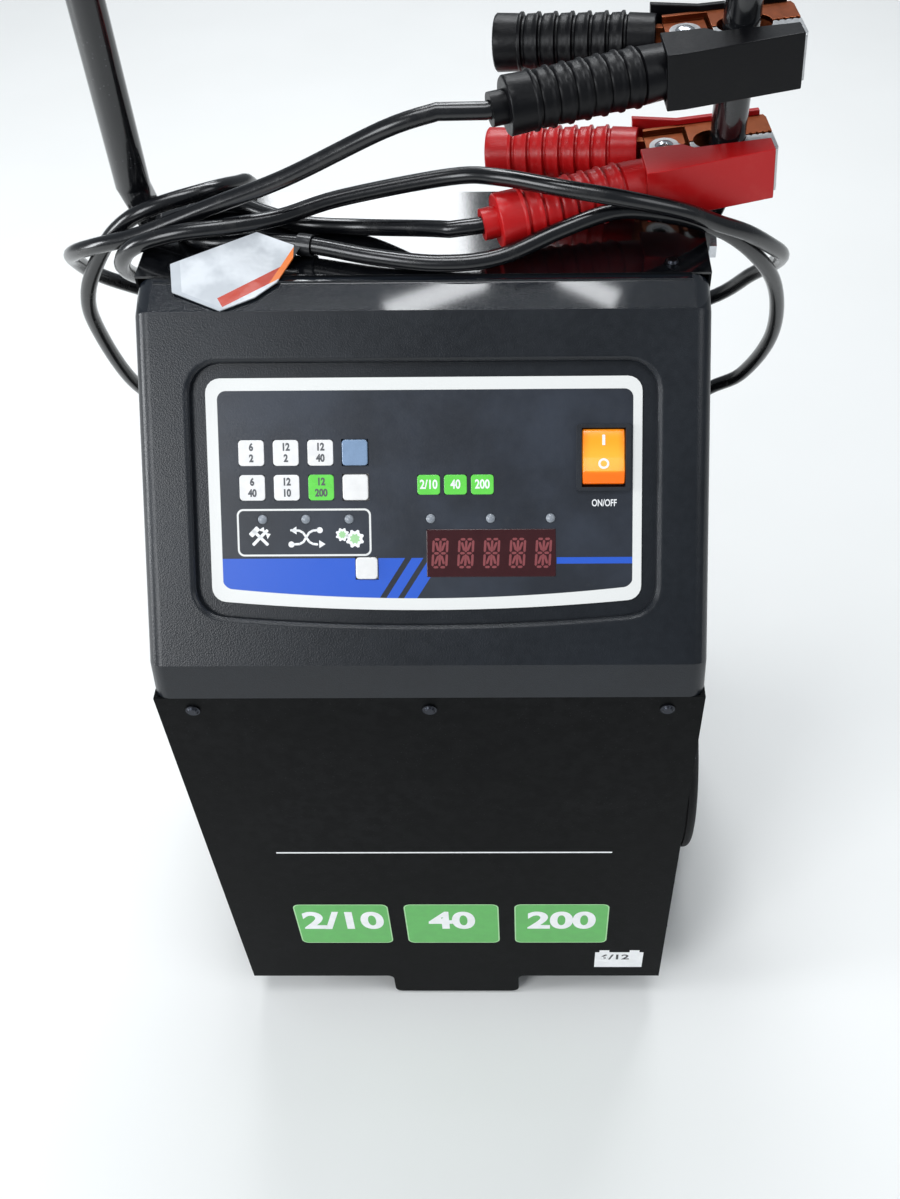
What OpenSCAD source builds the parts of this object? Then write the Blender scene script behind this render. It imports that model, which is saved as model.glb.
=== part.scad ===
// Wheeled battery charger and engine starter: steel case with a sloped control face,
// a bolted-on tube handle, two wheels, a front foot and two wound-up leads with clamps.
// Millimetres. X to the right, Y to the back, Z up. Origin on the floor at the middle.

/* [Case] */
// Width of the case
case_w = 272; // [250:1:300]
// Depth of the case, front panel to rear panel
case_d = 205; // [195:1:230]
// Clear height under the case
ground_gap = 26; // [20:1:40]
// Height of the lower front panel
front_h = 305; // [285:1:340]
// Thickness of the case's sheet steel
sheet = 1.2; // [0.8:0.1:2]
// Thickness of the floor pan
pan_t = 1.5; // [1:0.1:3]
// Depth of the folded flanges
flange_d = 18; // [10:1:24]

/* [Control head] */
// Height of the lip below the control face
lip_h = 19; // [14:1:26]
// Set-back of the control face at the lip
lip_back = 5; // [3:0.5:8]
// Length of the control face up its slope
face_len = 168; // [160:1:190]
// Lean of the control face back from upright
face_tilt = 40.5; // [36:0.5:44]
// Depth of the strip above the control face
strip_d = 17; // [12:1:24]
// Rise of that strip
strip_rise = 7; // [4:0.5:10]
// Depth of the moulded head's side skirt
skirt_d = 22; // [18:1:26]
// Wall of the moulded head
head_wall = 3; // [2.2:0.1:4]
// Radius on the head's long edges
head_r = 8; // [4:0.5:10]

/* [Label] */
// Width of the label plate
label_w = 207; // [200:1:215]
// Height of the label plate at its middle
label_h = 111; // [108:0.5:114]
// Height of the label's lowest point up the face
label_v = 26.5; // [24:0.5:30]
// Sag of the label's bowed lower edge
label_bow = 5; // [3:0.5:8]
// Corner radius of the label
label_r = 7; // [5:0.5:10]
// Thickness of the label plate
label_t = 1.2; // [0.8:0.1:1.6]
// Depth of the recess that holds the label
recess_d = 5; // [4:0.5:7]
// Margin of the recess around the label
recess_rim = 7; // [5:0.5:9]

/* [Controls] */
// Side of the square keys and windows
key_side = 12.2; // [11:0.1:13.5]
// Side of the small key beside the display
small_key_side = 10.5; // [9:0.1:11.5]
// Pitch of the keys across the face
key_pitch_u = 16.5; // [16:0.1:18]
// Pitch of the keys up the face
key_pitch_v = 16.5; // [16:0.1:18]
// Travel of a push key
key_travel = 1; // [0.6:0.1:1.4]
// Height of a key above the label
key_proud = 1; // [0.5:0.1:2]
// Gap around a key in its hole
key_gap = 0.35; // [0.3:0.05:0.5]
// Width of the display window
display_w = 62; // [58:0.5:64]
// Height of the display window
display_h = 23; // [20:0.5:25]
// Radius of an indicator lamp
led_r = 2.4; // [1.5:0.1:3]
// Width of the rocker switch frame
rocker_frame_w = 25.6; // [25:0.1:28]
// Height of the rocker switch frame
rocker_frame_h = 31.5; // [30.5:0.1:34]
// Width of the rocker
rocker_w = 20; // [16:0.5:20]
// Height of the rocker
rocker_h = 26; // [22:0.5:26]
// Tilt of the rocker at OFF, and the same again at ON
rocker_tilt = 8; // [5:0.5:10]

/* [Handle] */
// Outside diameter of the handle tube
tube_d = 17; // [15:0.5:18]
// Height of the handle's top above the floor
handle_top = 655; // [640:1:720]
// Distance from the rear panel to the handle's centre
handle_inset = 15; // [14:0.5:20]
// Bend radius of the handle corners, to the tube's centre
handle_bend = 40; // [30:1:60]
// Thickness of the flattened handle ends
tab_t = 5; // [4:0.2:6]
// Width of the flattened handle ends
tab_w = 24; // [20:0.5:26]
// Length of the flattened handle ends
tab_len = 150; // [120:1:170]
// Radius of the handle bolts
bolt_r = 4; // [3:0.1:5]

/* [Wheels and foot] */
// Radius of the wheels
wheel_r = 75; // [70:0.5:80]
// Width of the tyres
tyre_w = 24; // [20:0.5:28]
// Radius of the rims
rim_r = 57; // [50:0.5:62]
// Distance from the front panel to the axle
axle_back = 157; // [150:0.5:162]
// Radius of the axle
axle_r = 5; // [4:0.1:6]
// Running clearance of a wheel on the axle
axle_fit = 0.06; // [0.02:0.01:0.1]
// Gap between the case and a wheel's hub
wheel_gap = 1.8; // [1.2:0.1:4]
// Width of the front foot
foot_w = 84; // [70:1:100]
// Depth of the front foot
foot_d = 58; // [45:1:70]
// Thickness of the foot's steel
foot_t = 2.5; // [2:0.1:4]
// Rounding of the foot's lower edges
foot_r = 5; // [3:0.5:8]
// Flare of the foot where it meets the case
foot_flare = 4; // [2:0.5:6]
// Thickness of the rubber pad under the foot
pad_t = 3; // [2:0.5:5]

/* [Insides] */
// Height of the transformer core
core_h = 96; // [80:1:110]
// Width of the transformer core
core_w = 116; // [100:1:124]
// Stack depth of the transformer core
core_d = 66; // [50:1:70]
// Width of the cooling fan
fan_w = 92; // [80:1:92]
// Depth of the cooling fan
fan_d = 25; // [20:1:30]
// Height of the fan's centre above the floor
fan_z = 375; // [360:1:390]

/* [Clamps and leads] */
// Diameter of the leads
lead_d = 8; // [7:0.1:8.2]
// Largest diameter of a clamp grip
grip_d = 26.5; // [24:0.5:27]
// Length of a clamp grip
grip_len = 75; // [65:1:80]
// Reach of the jaws past the pivot
jaw_reach = 52; // [48:0.5:56]
// Height of the clamp hood
hood_h = 25.5; // [24.5:0.5:28]
// Radius of the clamp's pivot rivet
rivet_r = 2.5; // [2:0.1:3]
// Running clearance of the moving lever on the rivet
rivet_fit = 0.06; // [0.02:0.01:0.1]
// Spread of a grip from the clamp's centre line
grip_spread = 12.8; // [11:0.2:15]

/* [Hidden] */
$fn = 48;

// Screws
screw_r = 1.6;
screw_head_r = 3.6;
screw_head_h = 2;

// Where the case stands: the middle of the whole machine is at Y = 0
front_y = (screw_head_h - axle_back - wheel_r) / 2;
rear_y = front_y + case_d;
base_z = ground_gap;
seam_z = base_z + front_h;
half_w = case_w / 2;
inner_w = half_w - sheet;

// Side profile of the head, as [Y, Z] corners
lip_top = [front_y + lip_back, seam_z + lip_h];
face_top = lip_top + face_len * [sin(face_tilt), cos(face_tilt)];
strip_end = face_top + [strip_d, strip_rise];
top_z = strip_end[1] + sheet;
// Back edge of the head's skirt, parallel to the face
skirt_low = lip_top + skirt_d * [cos(face_tilt), -sin(face_tilt)];
function skirt_y(z) = skirt_low[0] + (z - skirt_low[1]) * tan(face_tilt);
function skirt_z(y) = skirt_low[1] + (y - skirt_low[0]) / tan(face_tilt);
head_low = [front_y, seam_z];
side_outline = [[front_y + sheet, base_z], [front_y + sheet, seam_z],
  [skirt_y(seam_z), seam_z], [strip_end[0], skirt_z(strip_end[0])],
  strip_end, [rear_y, strip_end[1]], [rear_y, base_z]];

// Places on the face: u across from the middle, v up from the lip, both to centres
label_mid_v = label_v + label_h / 2;
floor_n = -recess_d;
key_col = -33;
key_row = 102.3;
window_cols = [1, 2, 3];
small_key_at = [-28.4, 47];
display_at = [31.5, 54];
rocker_at = [85.2, 99.3];
lamp_v = 70.6;
lamps_left = [-78.1, -57.3, -36.5];
lamps_right = [2.6, 31.3, 60];
small_window = [10.8, 9.4];
small_window_at = [14.7, 86.8];
small_window_pitch = 12.8;

// Rocker switch
rocker_side_gap = 0.45;
rocker_end_gap = 0.95;
rocker_pin_r = 1.5;
rocker_pin_fit = 0.06;
rocker_pivot_n = -3;
rocker_frame_t = 2;
rocker_body_w = rocker_frame_w - 2.4;
rocker_body_h = rocker_frame_h - 2;
rocker_body_d = 17;
rocker_n = floor_n + label_t;

// Control board behind the face
board_w = 160;
board_h = 100;
board_t = 1.6;
board_u = -20;
board_n = floor_n - head_wall - 12;
board_post_r = 3;
key_flange = 1.4;
key_flange_t = 1;
switch_gap = key_travel + 0.4;

// Handle
leg_x = half_w + tube_d / 2 + 1;
leg_y = rear_y - handle_inset;
leg_low_z = top_z + 14;
tab_top_z = leg_low_z - 24;
tab_bottom_z = tab_top_z - tab_len;
bolt_top_z = tab_top_z - 13;
bolt_low_z = tab_bottom_z + 30;
bolt_head_t = 5;
bolt_tip = 9;

// Wheels
axle_y = front_y + axle_back;
axle_z = wheel_r;
hub_in_x = half_w + wheel_gap;
tyre_in_x = hub_in_x + 1.4;
tyre_out_x = tyre_in_x + tyre_w;
hub_out_x = tyre_out_x + 0.6;
hub_r = 14;
cap_gap = 0.4;
cap_t = 3.2;
cap_r = 9;

// Transformer and rectifier
core_y = -35;
pan_top = base_z + pan_t;
bracket_t = 3;
winding_over = 12;

// Fan, guard, vents, inlet and glands on the rear panel
fan_y = rear_y - sheet - fan_d / 2;
fan_hole_r = fan_w / 2 - 5;
fan_hub_r = 17;
fan_shaft_r = 2;
fan_fit = 0.05;
fan_screw_at = fan_w / 2 - 5;
guard_wire = 1.2;
guard_rings = 5;
vent_rows = 7;
vent_pitch = 9;
vent_w = 90;
vent_h = 3.4;
vent_z = 165;
inlet_at = [-72, 112];
inlet_w = 48;
inlet_h = 27;
inlet_t = 3;
inlet_d = 24;
socket_w = 25;
socket_h = 17;
socket_d = 18;
gland_x = 45;
gland_z = 280;
gland_r = 11;
gland_tip_r = 6.2;
gland_len = 26;
lead_r = lead_d / 2;
lead_gap = 0.3;
lead_sides = 10;
ring_gap = 33;

// Clamps: pivot place, lean and turn on the right-hand leg
clamp_turn = 4;
black_reach = 24.5;
red_reach = 29.5;
black_lean = 4;
red_lean = 5;
black_z = 563.5;
red_z = 509;
grip_start = 11;
grip_off = 12.5;
grip_rings = 7;
ring_pitch = 7.9;
grip_end_len = 12.5;
collar_len = 7;
collar_r = 7.4;
ear_r = 7;
ear_out = 10.5;
ear_t = 2.2;
ear_gap = 0.3;
jaw_back = 17.5;
jaw_slot = [23, 30.5];
jaw_grip_r = tube_d / 2 + 0.3;
hood_wall = 2;
hood_back = 28;
hood_tip_back = 20.5;
core_bar = [14, 4];
tooth = 1.2;

// Card tag on the red lead, as points on a plane through X that leans up to the back
tag_z = 479.3;
tag_slope = 25;
tag_t = 0.8;
tag_ring = [[-48, 31, 491.5], [-64, 35, 491.5]];
tag_ring_wall = 1.2;
tag_outline = [[-119, 23], [-79, 40], [-58, 31.5], [-68, 13], [-78, 5], [-94, -2], [-117, 8]];

// Points on each lead's centre line, gland first
black_points = [[-45, 96, 280], [-45, 118, 280], [-45, 134, 279], [-58, 154, 267],
  [-94, 164, 254], [-144, 150, 280], [-172, 128, 317], [-185, 104, 356], [-187, 80, 411],
  [-181, 68, 443], [-163.5, 61, 473.5], [-147, 56, 491], [-130, 57, 499],
  [-106, 66.5, 501.5], [-96, 83, 495.5], [-93, 97, 488], [-92, 111, 468], [-95, 116, 432],
  [-109, 118, 408], [-129, 116, 407], [-147, 98, 428], [-152, 76, 446], [-153, 58, 461],
  [-150, 44, 476], [-139.5, 36, 489.5], [-118, 34, 497.5], [-92, 37, 499.5], [-68, 44, 500],
  [-40, 50, 506], [13, 51, 516], [37, 43, 520], [65, 33, 520], [92, 29, 517],
  [121, 33, 508], [139, 39, 498], [155, 45, 489], [170.5, 58, 473.5], [180, 71, 460],
  [180, 85, 446], [172, 99, 430], [150, 117, 401], [85, 134, 371], [0, 139, 360],
  [-85, 134, 376], [-146, 122, 400], [-181, 99, 431], [-187, 78, 456], [-178.5, 61, 471],
  [-161.5, 49.5, 482], [-138, 45, 490.5], [-100, 44, 506], [-62, 39, 523], [-14, 33, 549],
  [10, 35, 556]];
red_points = [[45, 96, 280], [45, 118, 280], [45, 134, 278], [52, 152, 252], [58, 158, 195],
  [59, 158, 150], [77, 155, 119], [112, 151, 117], [131, 148, 147], [133, 147, 195],
  [131, 146, 242], [115, 144, 268], [86, 143, 268], [70, 142, 242], [69, 141, 195],
  [70, 140, 150], [86, 138, 122], [117, 134, 121], [135, 132, 150], [141, 129, 220],
  [144, 125, 280], [155, 119, 330], [177, 110, 354], [187, 93, 394], [181, 76, 436],
  [163.5, 58.5, 468.5], [140, 46.5, 491], [109, 38, 504], [89, 34, 507], [65, 27, 502],
  [36, 19, 493], [8, 18, 490.5], [-22, 23, 491], tag_ring[0], tag_ring[1], [-82, 37.5, 491],
  [-101, 37, 490.5], [-114.5, 44, 490.5], [-119, 57, 490.5], [-111.5, 69.5, 490.5],
  [-96, 73, 490.5], [-79, 63, 490.5], [-58, 53, 490.5], [-30, 50, 490.5],
  [2.4, 36.5, 497.7], [13, 32, 499.8]];

// ---- helpers ----

// Extrudes a [Y, Z] outline along X between two places
module along_x(x0, x1) {
  translate([x0, 0, 0]) rotate([90, 0, 90]) linear_extrude(x1 - x0) children();
}

// Moves children onto the control face: x = u, y = v, z = outwards
module on_face() {
  translate([0, lip_top[0], lip_top[1]]) rotate([90 - face_tilt, 0, 0]) children();
}

// Moves children onto the rear panel's outside: x stays, z = backwards
module on_rear(x, z) {
  translate([x, rear_y, z]) rotate([-90, 0, 0]) children();
}

module box_at(u, v, w, h, n0, n1) {
  translate([u - w / 2, v - h / 2, n0]) cube([w, h, n1 - n0]);
}

module rounded_rect(w, h, r) {
  square([w - 2 * r, h], center = true);
  square([w, h - 2 * r], center = true);
  for (x = [-1, 1], y = [-1, 1])
    translate([x * (w / 2 - r), y * (h / 2 - r)]) circle(r);
}

function arc_points(c, r, a0, a1, steps) =
  [for (i = [0:steps]) let (a = a0 + (a1 - a0) * i / steps) c + r * [cos(a), sin(a)]];

// Outline of the label: straight sides, rounded corners, bowed lower edge
module label_outline(grow = 0) {
  w = label_w / 2 + grow;
  r = label_r + grow;
  bow_r = (label_w * label_w / 4 + label_bow * label_bow) / (2 * label_bow) + grow;
  bow_c = [0, label_v - grow + bow_r];
  corner_x = w - r;
  corner_y = bow_c[1] - sqrt(pow(bow_r - r, 2) - corner_x * corner_x);
  lean = asin(corner_x / (bow_r - r));
  top_y = label_v + label_h + grow - r;
  polygon(concat(
    arc_points(bow_c, bow_r, -90 - lean, -90 + lean, 16),
    arc_points([corner_x, corner_y], r, -90 + lean, 0, 5),
    arc_points([corner_x, top_y], r, 0, 90, 5),
    arc_points([-corner_x, top_y], r, 90, 180, 5),
    arc_points([-corner_x, corner_y], r, 180, 270 - lean, 5)));
}

function inward(from, to) = let (d = (to - from) / norm(to - from)) [d[1], -d[0]];
// Corner q moved inside both of its edges by w
function inset(p, q, r, w) = let (m = inward(p, q), n = inward(q, r)) q + w * (m + n) / (1 + m * n);
// Side outline of the head at a depth under its front edges
function head_at(d) = [
  head_low + [d * norm(lip_top - head_low) / (lip_top[1] - head_low[1]), 0],
  inset(head_low, lip_top, face_top, d), inset(lip_top, face_top, strip_end, d),
  strip_end - [0, d * norm(strip_end - face_top) / (strip_end[0] - face_top[0])],
  [strip_end[0], skirt_z(strip_end[0])], [skirt_y(seam_z), seam_z]];

// The head's outer form: slices across its width, each as far in as the rounded ends need
module head_body() {
  corner = arc_points([half_w - head_r, head_r], head_r, 0, -90, 5);
  cuts = concat([for (c = corner) [-c[0], c[1]]], [for (i = [5:-1:0]) corner[i]]);
  n = len(head_at(0));
  last = len(cuts) - 1;
  polyhedron([for (c = cuts) for (p = head_at(c[1])) [c[0], p[0], p[1]]],
    concat([[for (j = [n - 1:-1:0]) j], [for (j = [0:n - 1]) last * n + j]],
      [for (i = [0:last - 1]) for (j = [0:n - 1]) let (k = (j + 1) % n)
        [i * n + j, i * n + k, i * n + n + k, i * n + n + j]]));
}

module screw(grip = 6) {
  cylinder(r = screw_head_r, h = screw_head_h * 0.45);
  cylinder(r1 = screw_head_r, r2 = screw_head_r * 0.6, h = screw_head_h);
  translate([0, 0, -grip]) cylinder(r = screw_r, h = grip);
}

front_screw_z = seam_z - 9;
front_screw_x = half_w - 18;
cover_screw_y = strip_end[0] + 8;
side_screw_y = front_y + 10;
side_screw_zs = [base_z + 54, base_z + 242];
rear_screw_x = half_w - 10;
rear_screw_zs = [base_z + 16, base_z + 230, strip_end[1] - 16];

module at_front_screws() {
  for (x = [-front_screw_x, 0, front_screw_x])
    translate([x, front_y, front_screw_z]) rotate([90, 0, 0]) children();
}
module at_cover_screws() {
  for (x = [-front_screw_x, 0, front_screw_x])
    translate([x, cover_screw_y, top_z]) children();
}
module at_side_screws(side) {
  for (z = side_screw_zs)
    translate([side * half_w, side_screw_y, z]) rotate([0, side * 90, 0]) children();
}
module at_rear_screws() {
  for (x = [-rear_screw_x, rear_screw_x], z = rear_screw_zs) on_rear(x, z) children();
}
module at_handle_bolts(side) {
  for (z = [bolt_low_z, bolt_top_z])
    translate([side * half_w, leg_y, z]) rotate([0, side * 90, 0]) children();
}

// ---- case ----

module floor_pan() {
  color("#2b2c30") difference() {
    union() {
      translate([-inner_w, front_y + sheet, base_z])
        cube([2 * inner_w, case_d - 2 * sheet, pan_t]);
      for (x = [-inner_w, inner_w - pan_t])
        translate([x, front_y + flange_d + 2 * sheet, base_z])
          cube([pan_t, case_d - 2 * flange_d - 4 * sheet, flange_d]);
    }
    for (x = [-1, 1], y = [-1, 1])
      translate([x * (foot_w / 2 - 12), foot_mid_y + y * (foot_d / 2 - 12), base_z - 1])
        cylinder(r = 2.2, h = pan_t + 2);
  }
}

module front_panel() {
  color("#151619") difference() {
    union() {
      translate([-half_w, front_y, base_z]) cube([case_w, sheet, front_h]);
      for (x = [-inner_w, inner_w - sheet])
        translate([x, front_y + sheet, base_z + pan_t]) cube([sheet, flange_d, front_h - pan_t]);
      translate([-inner_w + sheet, front_y + sheet, base_z + pan_t])
        cube([2 * (inner_w - sheet), flange_d, sheet]);
    }
    at_front_screws() cylinder(r = screw_r, h = 4 * sheet, center = true);
    for (s = [-1, 1]) at_side_screws(s) cylinder(r = screw_r, h = 6 * sheet, center = true);
  }
}

module key_holes(grow) {
  for (row = [0, 1])
    box_at(key_col, key_row - row * key_pitch_v, key_side + grow, key_side + grow, -30, 5);
  box_at(small_key_at[0], small_key_at[1], small_key_side + grow, small_key_side + grow,
    -30, 5);
}

module window_places() {
  for (row = [0, 1], col = window_cols)
    translate([key_col - col * key_pitch_u, key_row - row * key_pitch_v])
      square([key_side, key_side], center = true);
  for (i = [-1:1])
    translate([small_window_at[0] + i * small_window_pitch, small_window_at[1]])
      square(small_window, center = true);
}

module at_lamps() {
  for (u = concat(lamps_left, lamps_right)) translate([u, lamp_v, 0]) children();
}

module control_head() {
  tab_h = 18;
  lap = 10;
  lip_in = inward(head_low, lip_top) * head_wall;
  strip_in = inward(face_top, strip_end) * head_wall;
  back = strip_end[0] + 60;
  color("#24262c") difference() {
    union() {
      difference() {
        union() {
          head_body();
          along_x(-inner_w, inner_w) polygon([
            [skirt_y(seam_z) - 6, seam_z], [strip_end[0] - 1, skirt_z(strip_end[0] + 6)],
            [strip_end[0] - 1, skirt_z(strip_end[0] - lap)], [skirt_y(seam_z) + lap, seam_z]]);
        }
        along_x(-inner_w + head_wall, inner_w - head_wall) polygon([
          head_low + lip_in - (lip_top - head_low) / 2,
          inset(head_low, lip_top, face_top, head_wall),
          inset(lip_top, face_top, strip_end, head_wall),
          strip_end + strip_in + (strip_end - face_top),
          [back, strip_end[1]], [back, seam_z - 10]]);
      }
      on_face() translate([0, 0, -recess_d - head_wall])
        linear_extrude(recess_d + 1) label_outline(recess_rim + head_wall);
      translate([-inner_w + 8, front_y + sheet, seam_z - tab_h])
        cube([2 * inner_w - 16, head_wall, tab_h + head_wall]);
      translate([-inner_w + 8, strip_end[0] - head_wall, strip_end[1] - head_wall])
        cube([2 * inner_w - 16, tab_h, head_wall]);
    }
    on_face() {
      translate([0, 0, -recess_d]) linear_extrude(recess_d + 5) label_outline(recess_rim);
      key_holes(2 * key_gap);
      box_at(display_at[0], display_at[1], display_w - 2, display_h - 2, -30, 5);
      box_at(rocker_at[0], rocker_at[1], rocker_body_w + 0.2, rocker_body_h + 0.2, -30, 5);
      at_lamps() translate([0, 0, -30]) cylinder(r = led_r + 0.1, h = 35);
    }
    at_front_screws() cylinder(r = screw_r, h = 6 * head_wall, center = true);
    at_cover_screws() cylinder(r = screw_r, h = 6 * head_wall, center = true);
  }
}

module top_cover() {
  color("#17181b") difference() {
    union() {
      translate([-half_w, strip_end[0], strip_end[1]])
        cube([case_w, rear_y - strip_end[0], sheet]);
      for (x = [-inner_w, inner_w - sheet])
        translate([x, strip_end[0] + flange_d + 2, strip_end[1] - flange_d])
          cube([sheet, rear_y - strip_end[0] - 2 * flange_d - 4, flange_d]);
    }
    at_cover_screws() cylinder(r = screw_r, h = 4 * sheet, center = true);
  }
}

module side_panel(side) {
  color("#17181b") difference() {
    union() {
      along_x(side > 0 ? inner_w : -half_w, side > 0 ? half_w : -inner_w)
        polygon(side_outline);
      translate([side > 0 ? inner_w - flange_d : -inner_w, rear_y - 2 * sheet, base_z + flange_d])
        cube([flange_d, sheet, strip_end[1] - base_z - 2 * flange_d]);
    }
    translate([0, axle_y, axle_z]) rotate([0, side * 90, 0])
      cylinder(r = axle_r, h = half_w + 5);
    at_side_screws(side) cylinder(r = screw_r, h = 4 * sheet, center = true);
    at_rear_screws() cylinder(r = screw_r, h = 8 * sheet, center = true);
    at_handle_bolts(side) cylinder(r = bolt_r, h = 4 * sheet, center = true);
  }
}

module rear_panel() {
  color("#17181b") difference() {
    translate([-inner_w, rear_y - sheet, base_z])
      cube([2 * inner_w, sheet, strip_end[1] - base_z]);
    on_rear(0, fan_z) {
      cylinder(r = fan_hole_r, h = 4 * sheet, center = true);
      for (x = [-1, 1], y = [-1, 1]) translate([x * fan_screw_at, y * fan_screw_at, 0])
        cylinder(r = screw_r, h = 4 * sheet, center = true);
    }
    for (i = [0:vent_rows - 1])
      on_rear(40, vent_z - i * vent_pitch) linear_extrude(4 * sheet, center = true)
        rounded_rect(vent_w, vent_h, vent_h / 2 - 0.1);
    on_rear(inlet_at[0], inlet_at[1])
      cube([inlet_w - 12, inlet_h - 4, 4 * sheet], center = true);
    for (x = [-1, 1]) {
      on_rear(x * gland_x, gland_z) cylinder(r = gland_tip_r, h = 4 * sheet, center = true);
      on_rear(inlet_at[0] + x * (inlet_w / 2 - 4), inlet_at[1])
        cylinder(r = screw_r, h = 4 * sheet, center = true);
    }
    at_rear_screws() cylinder(r = screw_r, h = 4 * sheet, center = true);
  }
}

foot_mid_y = front_y + foot_d / 2;

// The foot from the front: rounded below, flared where it meets the case
module foot_outline(w, r) {
  polygon(concat(
    arc_points([w - r, pad_t + r], r, -90, 0, 5),
    arc_points([w + foot_flare, base_z - foot_flare], foot_flare, 180, 90, 4),
    arc_points([-w - foot_flare, base_z - foot_flare], foot_flare, 90, 0, 4),
    arc_points([-w + r, pad_t + r], r, 180, 270, 5)));
}
module front_foot() {
  color("#151619") difference() {
    translate([0, front_y + foot_d, 0]) rotate([90, 0, 0]) linear_extrude(foot_d)
      foot_outline(foot_w / 2, foot_r);
    translate([-foot_w, front_y + foot_t, pad_t + foot_t])
      cube([2 * foot_w, foot_d - 2 * foot_t, base_z - pad_t - 2 * foot_t]);
    translate([-foot_w, front_y + 20, base_z - foot_t - 1])
      cube([2 * foot_w, foot_d - 40, foot_t + 2]);
    for (x = [-1, 1], y = [-1, 1])
      translate([x * (foot_w / 2 - 12), foot_mid_y + y * (foot_d / 2 - 12), 0])
        cylinder(r = 2.2, h = base_z + 2);
  }
}

module foot_pad() {
  color("#101010") translate([0, foot_mid_y, 0])
    linear_extrude(pad_t) rounded_rect(foot_w - 2 * foot_r, foot_d - 4, 6);
}

// ---- control face ----

module label_plate() {
  color("#2c3444") on_face() difference() {
    translate([0, 0, floor_n]) linear_extrude(label_t) label_outline();
    key_holes(2 * key_gap);
    box_at(display_at[0], display_at[1], display_w, display_h, -30, 5);
    box_at(rocker_at[0], rocker_at[1], rocker_body_w + 0.2, rocker_body_h + 0.2, -30, 5);
    at_lamps() translate([0, 0, -30]) cylinder(r = led_r, h = 35);
    translate([0, 0, floor_n - 1]) linear_extrude(label_t + 2) window_places();
  }
}

module display_window() {
  color("#3a1218") on_face()
    box_at(display_at[0], display_at[1], display_w, display_h, floor_n, floor_n + label_t + 0.3);
}

module display_module() {
  color("#1a1a1a") on_face()
    box_at(display_at[0], display_at[1], display_w - 3, display_h - 3,
      board_n + board_t, floor_n - 0.3);
}

module indicator_windows() {
  color("#e8e8ea") on_face() translate([0, 0, floor_n]) linear_extrude(label_t + 0.2)
    window_places();
}

module indicator_lamps() {
  color("#7a2020") on_face() at_lamps() translate([0, 0, board_n + board_t]) {
    cylinder(r = led_r, h = floor_n + label_t - board_n - board_t);
    translate([0, 0, floor_n + label_t - board_n - board_t]) intersection() {
      sphere(r = led_r);
      cylinder(r = led_r, h = led_r * 0.5);
    }
  }
}

module push_key(side) {
  top_n = floor_n + label_t + key_proud;
  low_n = floor_n - head_wall - 0.3;
  box_at(0, 0, side, side, low_n, top_n);
  box_at(0, 0, side + 2 * key_flange, side + 2 * key_flange, low_n - key_flange_t, low_n);
  translate([0, 0, board_n + board_t + 4 + switch_gap])
    cylinder(r = 2, h = low_n - board_n - board_t - 4 - switch_gap);
}

module function_key() {
  color("#56708c") on_face() translate([key_col, key_row, 0]) push_key(key_side);
}
module start_key() {
  color("#f0f0f0") on_face() translate([key_col, key_row - key_pitch_v, 0]) push_key(key_side);
}
module display_key() {
  color("#f0f0f0") on_face() translate([small_key_at[0], small_key_at[1], 0])
    push_key(small_key_side);
}

module at_rocker() {
  on_face() translate([rocker_at[0], rocker_at[1], rocker_n]) children();
}

module rocker_frame() {
  color("#101113") at_rocker() difference() {
    union() {
      linear_extrude(rocker_frame_t) rounded_rect(rocker_frame_w, rocker_frame_h, 1.5);
      box_at(0, 0, rocker_body_w, rocker_body_h, -rocker_body_d, 0.5);
      for (v = [-7, 0, 7]) box_at(0, v, 6, 0.8, -rocker_body_d - 9, -rocker_body_d);
    }
    box_at(0, 0, rocker_w + 2 * rocker_side_gap, rocker_h + 2 * rocker_end_gap,
      -rocker_body_d + 2, 5);
    translate([0, 0, rocker_pivot_n]) rotate([0, 90, 0])
      cylinder(r = rocker_pin_r + rocker_pin_fit, h = rocker_frame_w, center = true);
  }
}

module rocker() {
  pin_len = rocker_body_w - 0.4;
  color("#ff8a1a") at_rocker() translate([0, 0, rocker_pivot_n]) {
    rotate([-rocker_tilt, 0, 0]) along_x(-rocker_w / 2, rocker_w / 2)
      polygon([[-rocker_h / 2, 0], [-rocker_h / 2, 2.6], [-rocker_h / 2 + 5.2, 5.4],
        [-1, 4.3], [1, 4.3], [rocker_h / 2 - 5.2, 5.2], [rocker_h / 2, 4.4],
        [rocker_h / 2, 0], [4, -5], [-4, -5]]);
    rotate([0, 90, 0]) cylinder(r = rocker_pin_r, h = pin_len, center = true);
  }
}

module control_board() {
  color("#1f5a38") on_face() difference() {
    union() {
      box_at(board_u, label_mid_v - 4, board_w, board_h, board_n, board_n + board_t);
      for (row = [0, 1]) box_at(key_col, key_row - row * key_pitch_v, 6, 6,
        board_n + board_t, board_n + board_t + 4);
      box_at(small_key_at[0], small_key_at[1], 6, 6, board_n + board_t,
        board_n + board_t + 4);
      box_at(-60, 57, 18, 18, board_n + board_t, board_n + board_t + 2.5);
      for (i = [0:3]) translate([-88 + i * 14, 42, board_n + board_t]) cylinder(r = 4, h = 6);
    }
    at_board_posts() translate([0, 0, -60]) cylinder(r = screw_r, h = 100);
  }
}

module at_board_posts() {
  for (x = [-1, 1], y = [-1, 1])
    translate([board_u + x * (board_w / 2 - 6), label_mid_v - 4 + y * (board_h / 2 - 5), 0])
      children();
}

module board_posts() {
  color("#c9b27a") on_face() at_board_posts() {
    translate([0, 0, board_n + board_t])
      cylinder(r = board_post_r, h = floor_n - head_wall - board_n - board_t);
    translate([0, 0, board_n]) cylinder(r = screw_r, h = board_t);
    translate([0, 0, board_n - 2]) cylinder(r = board_post_r, h = 2);
  }
}

// ---- insides ----

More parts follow.
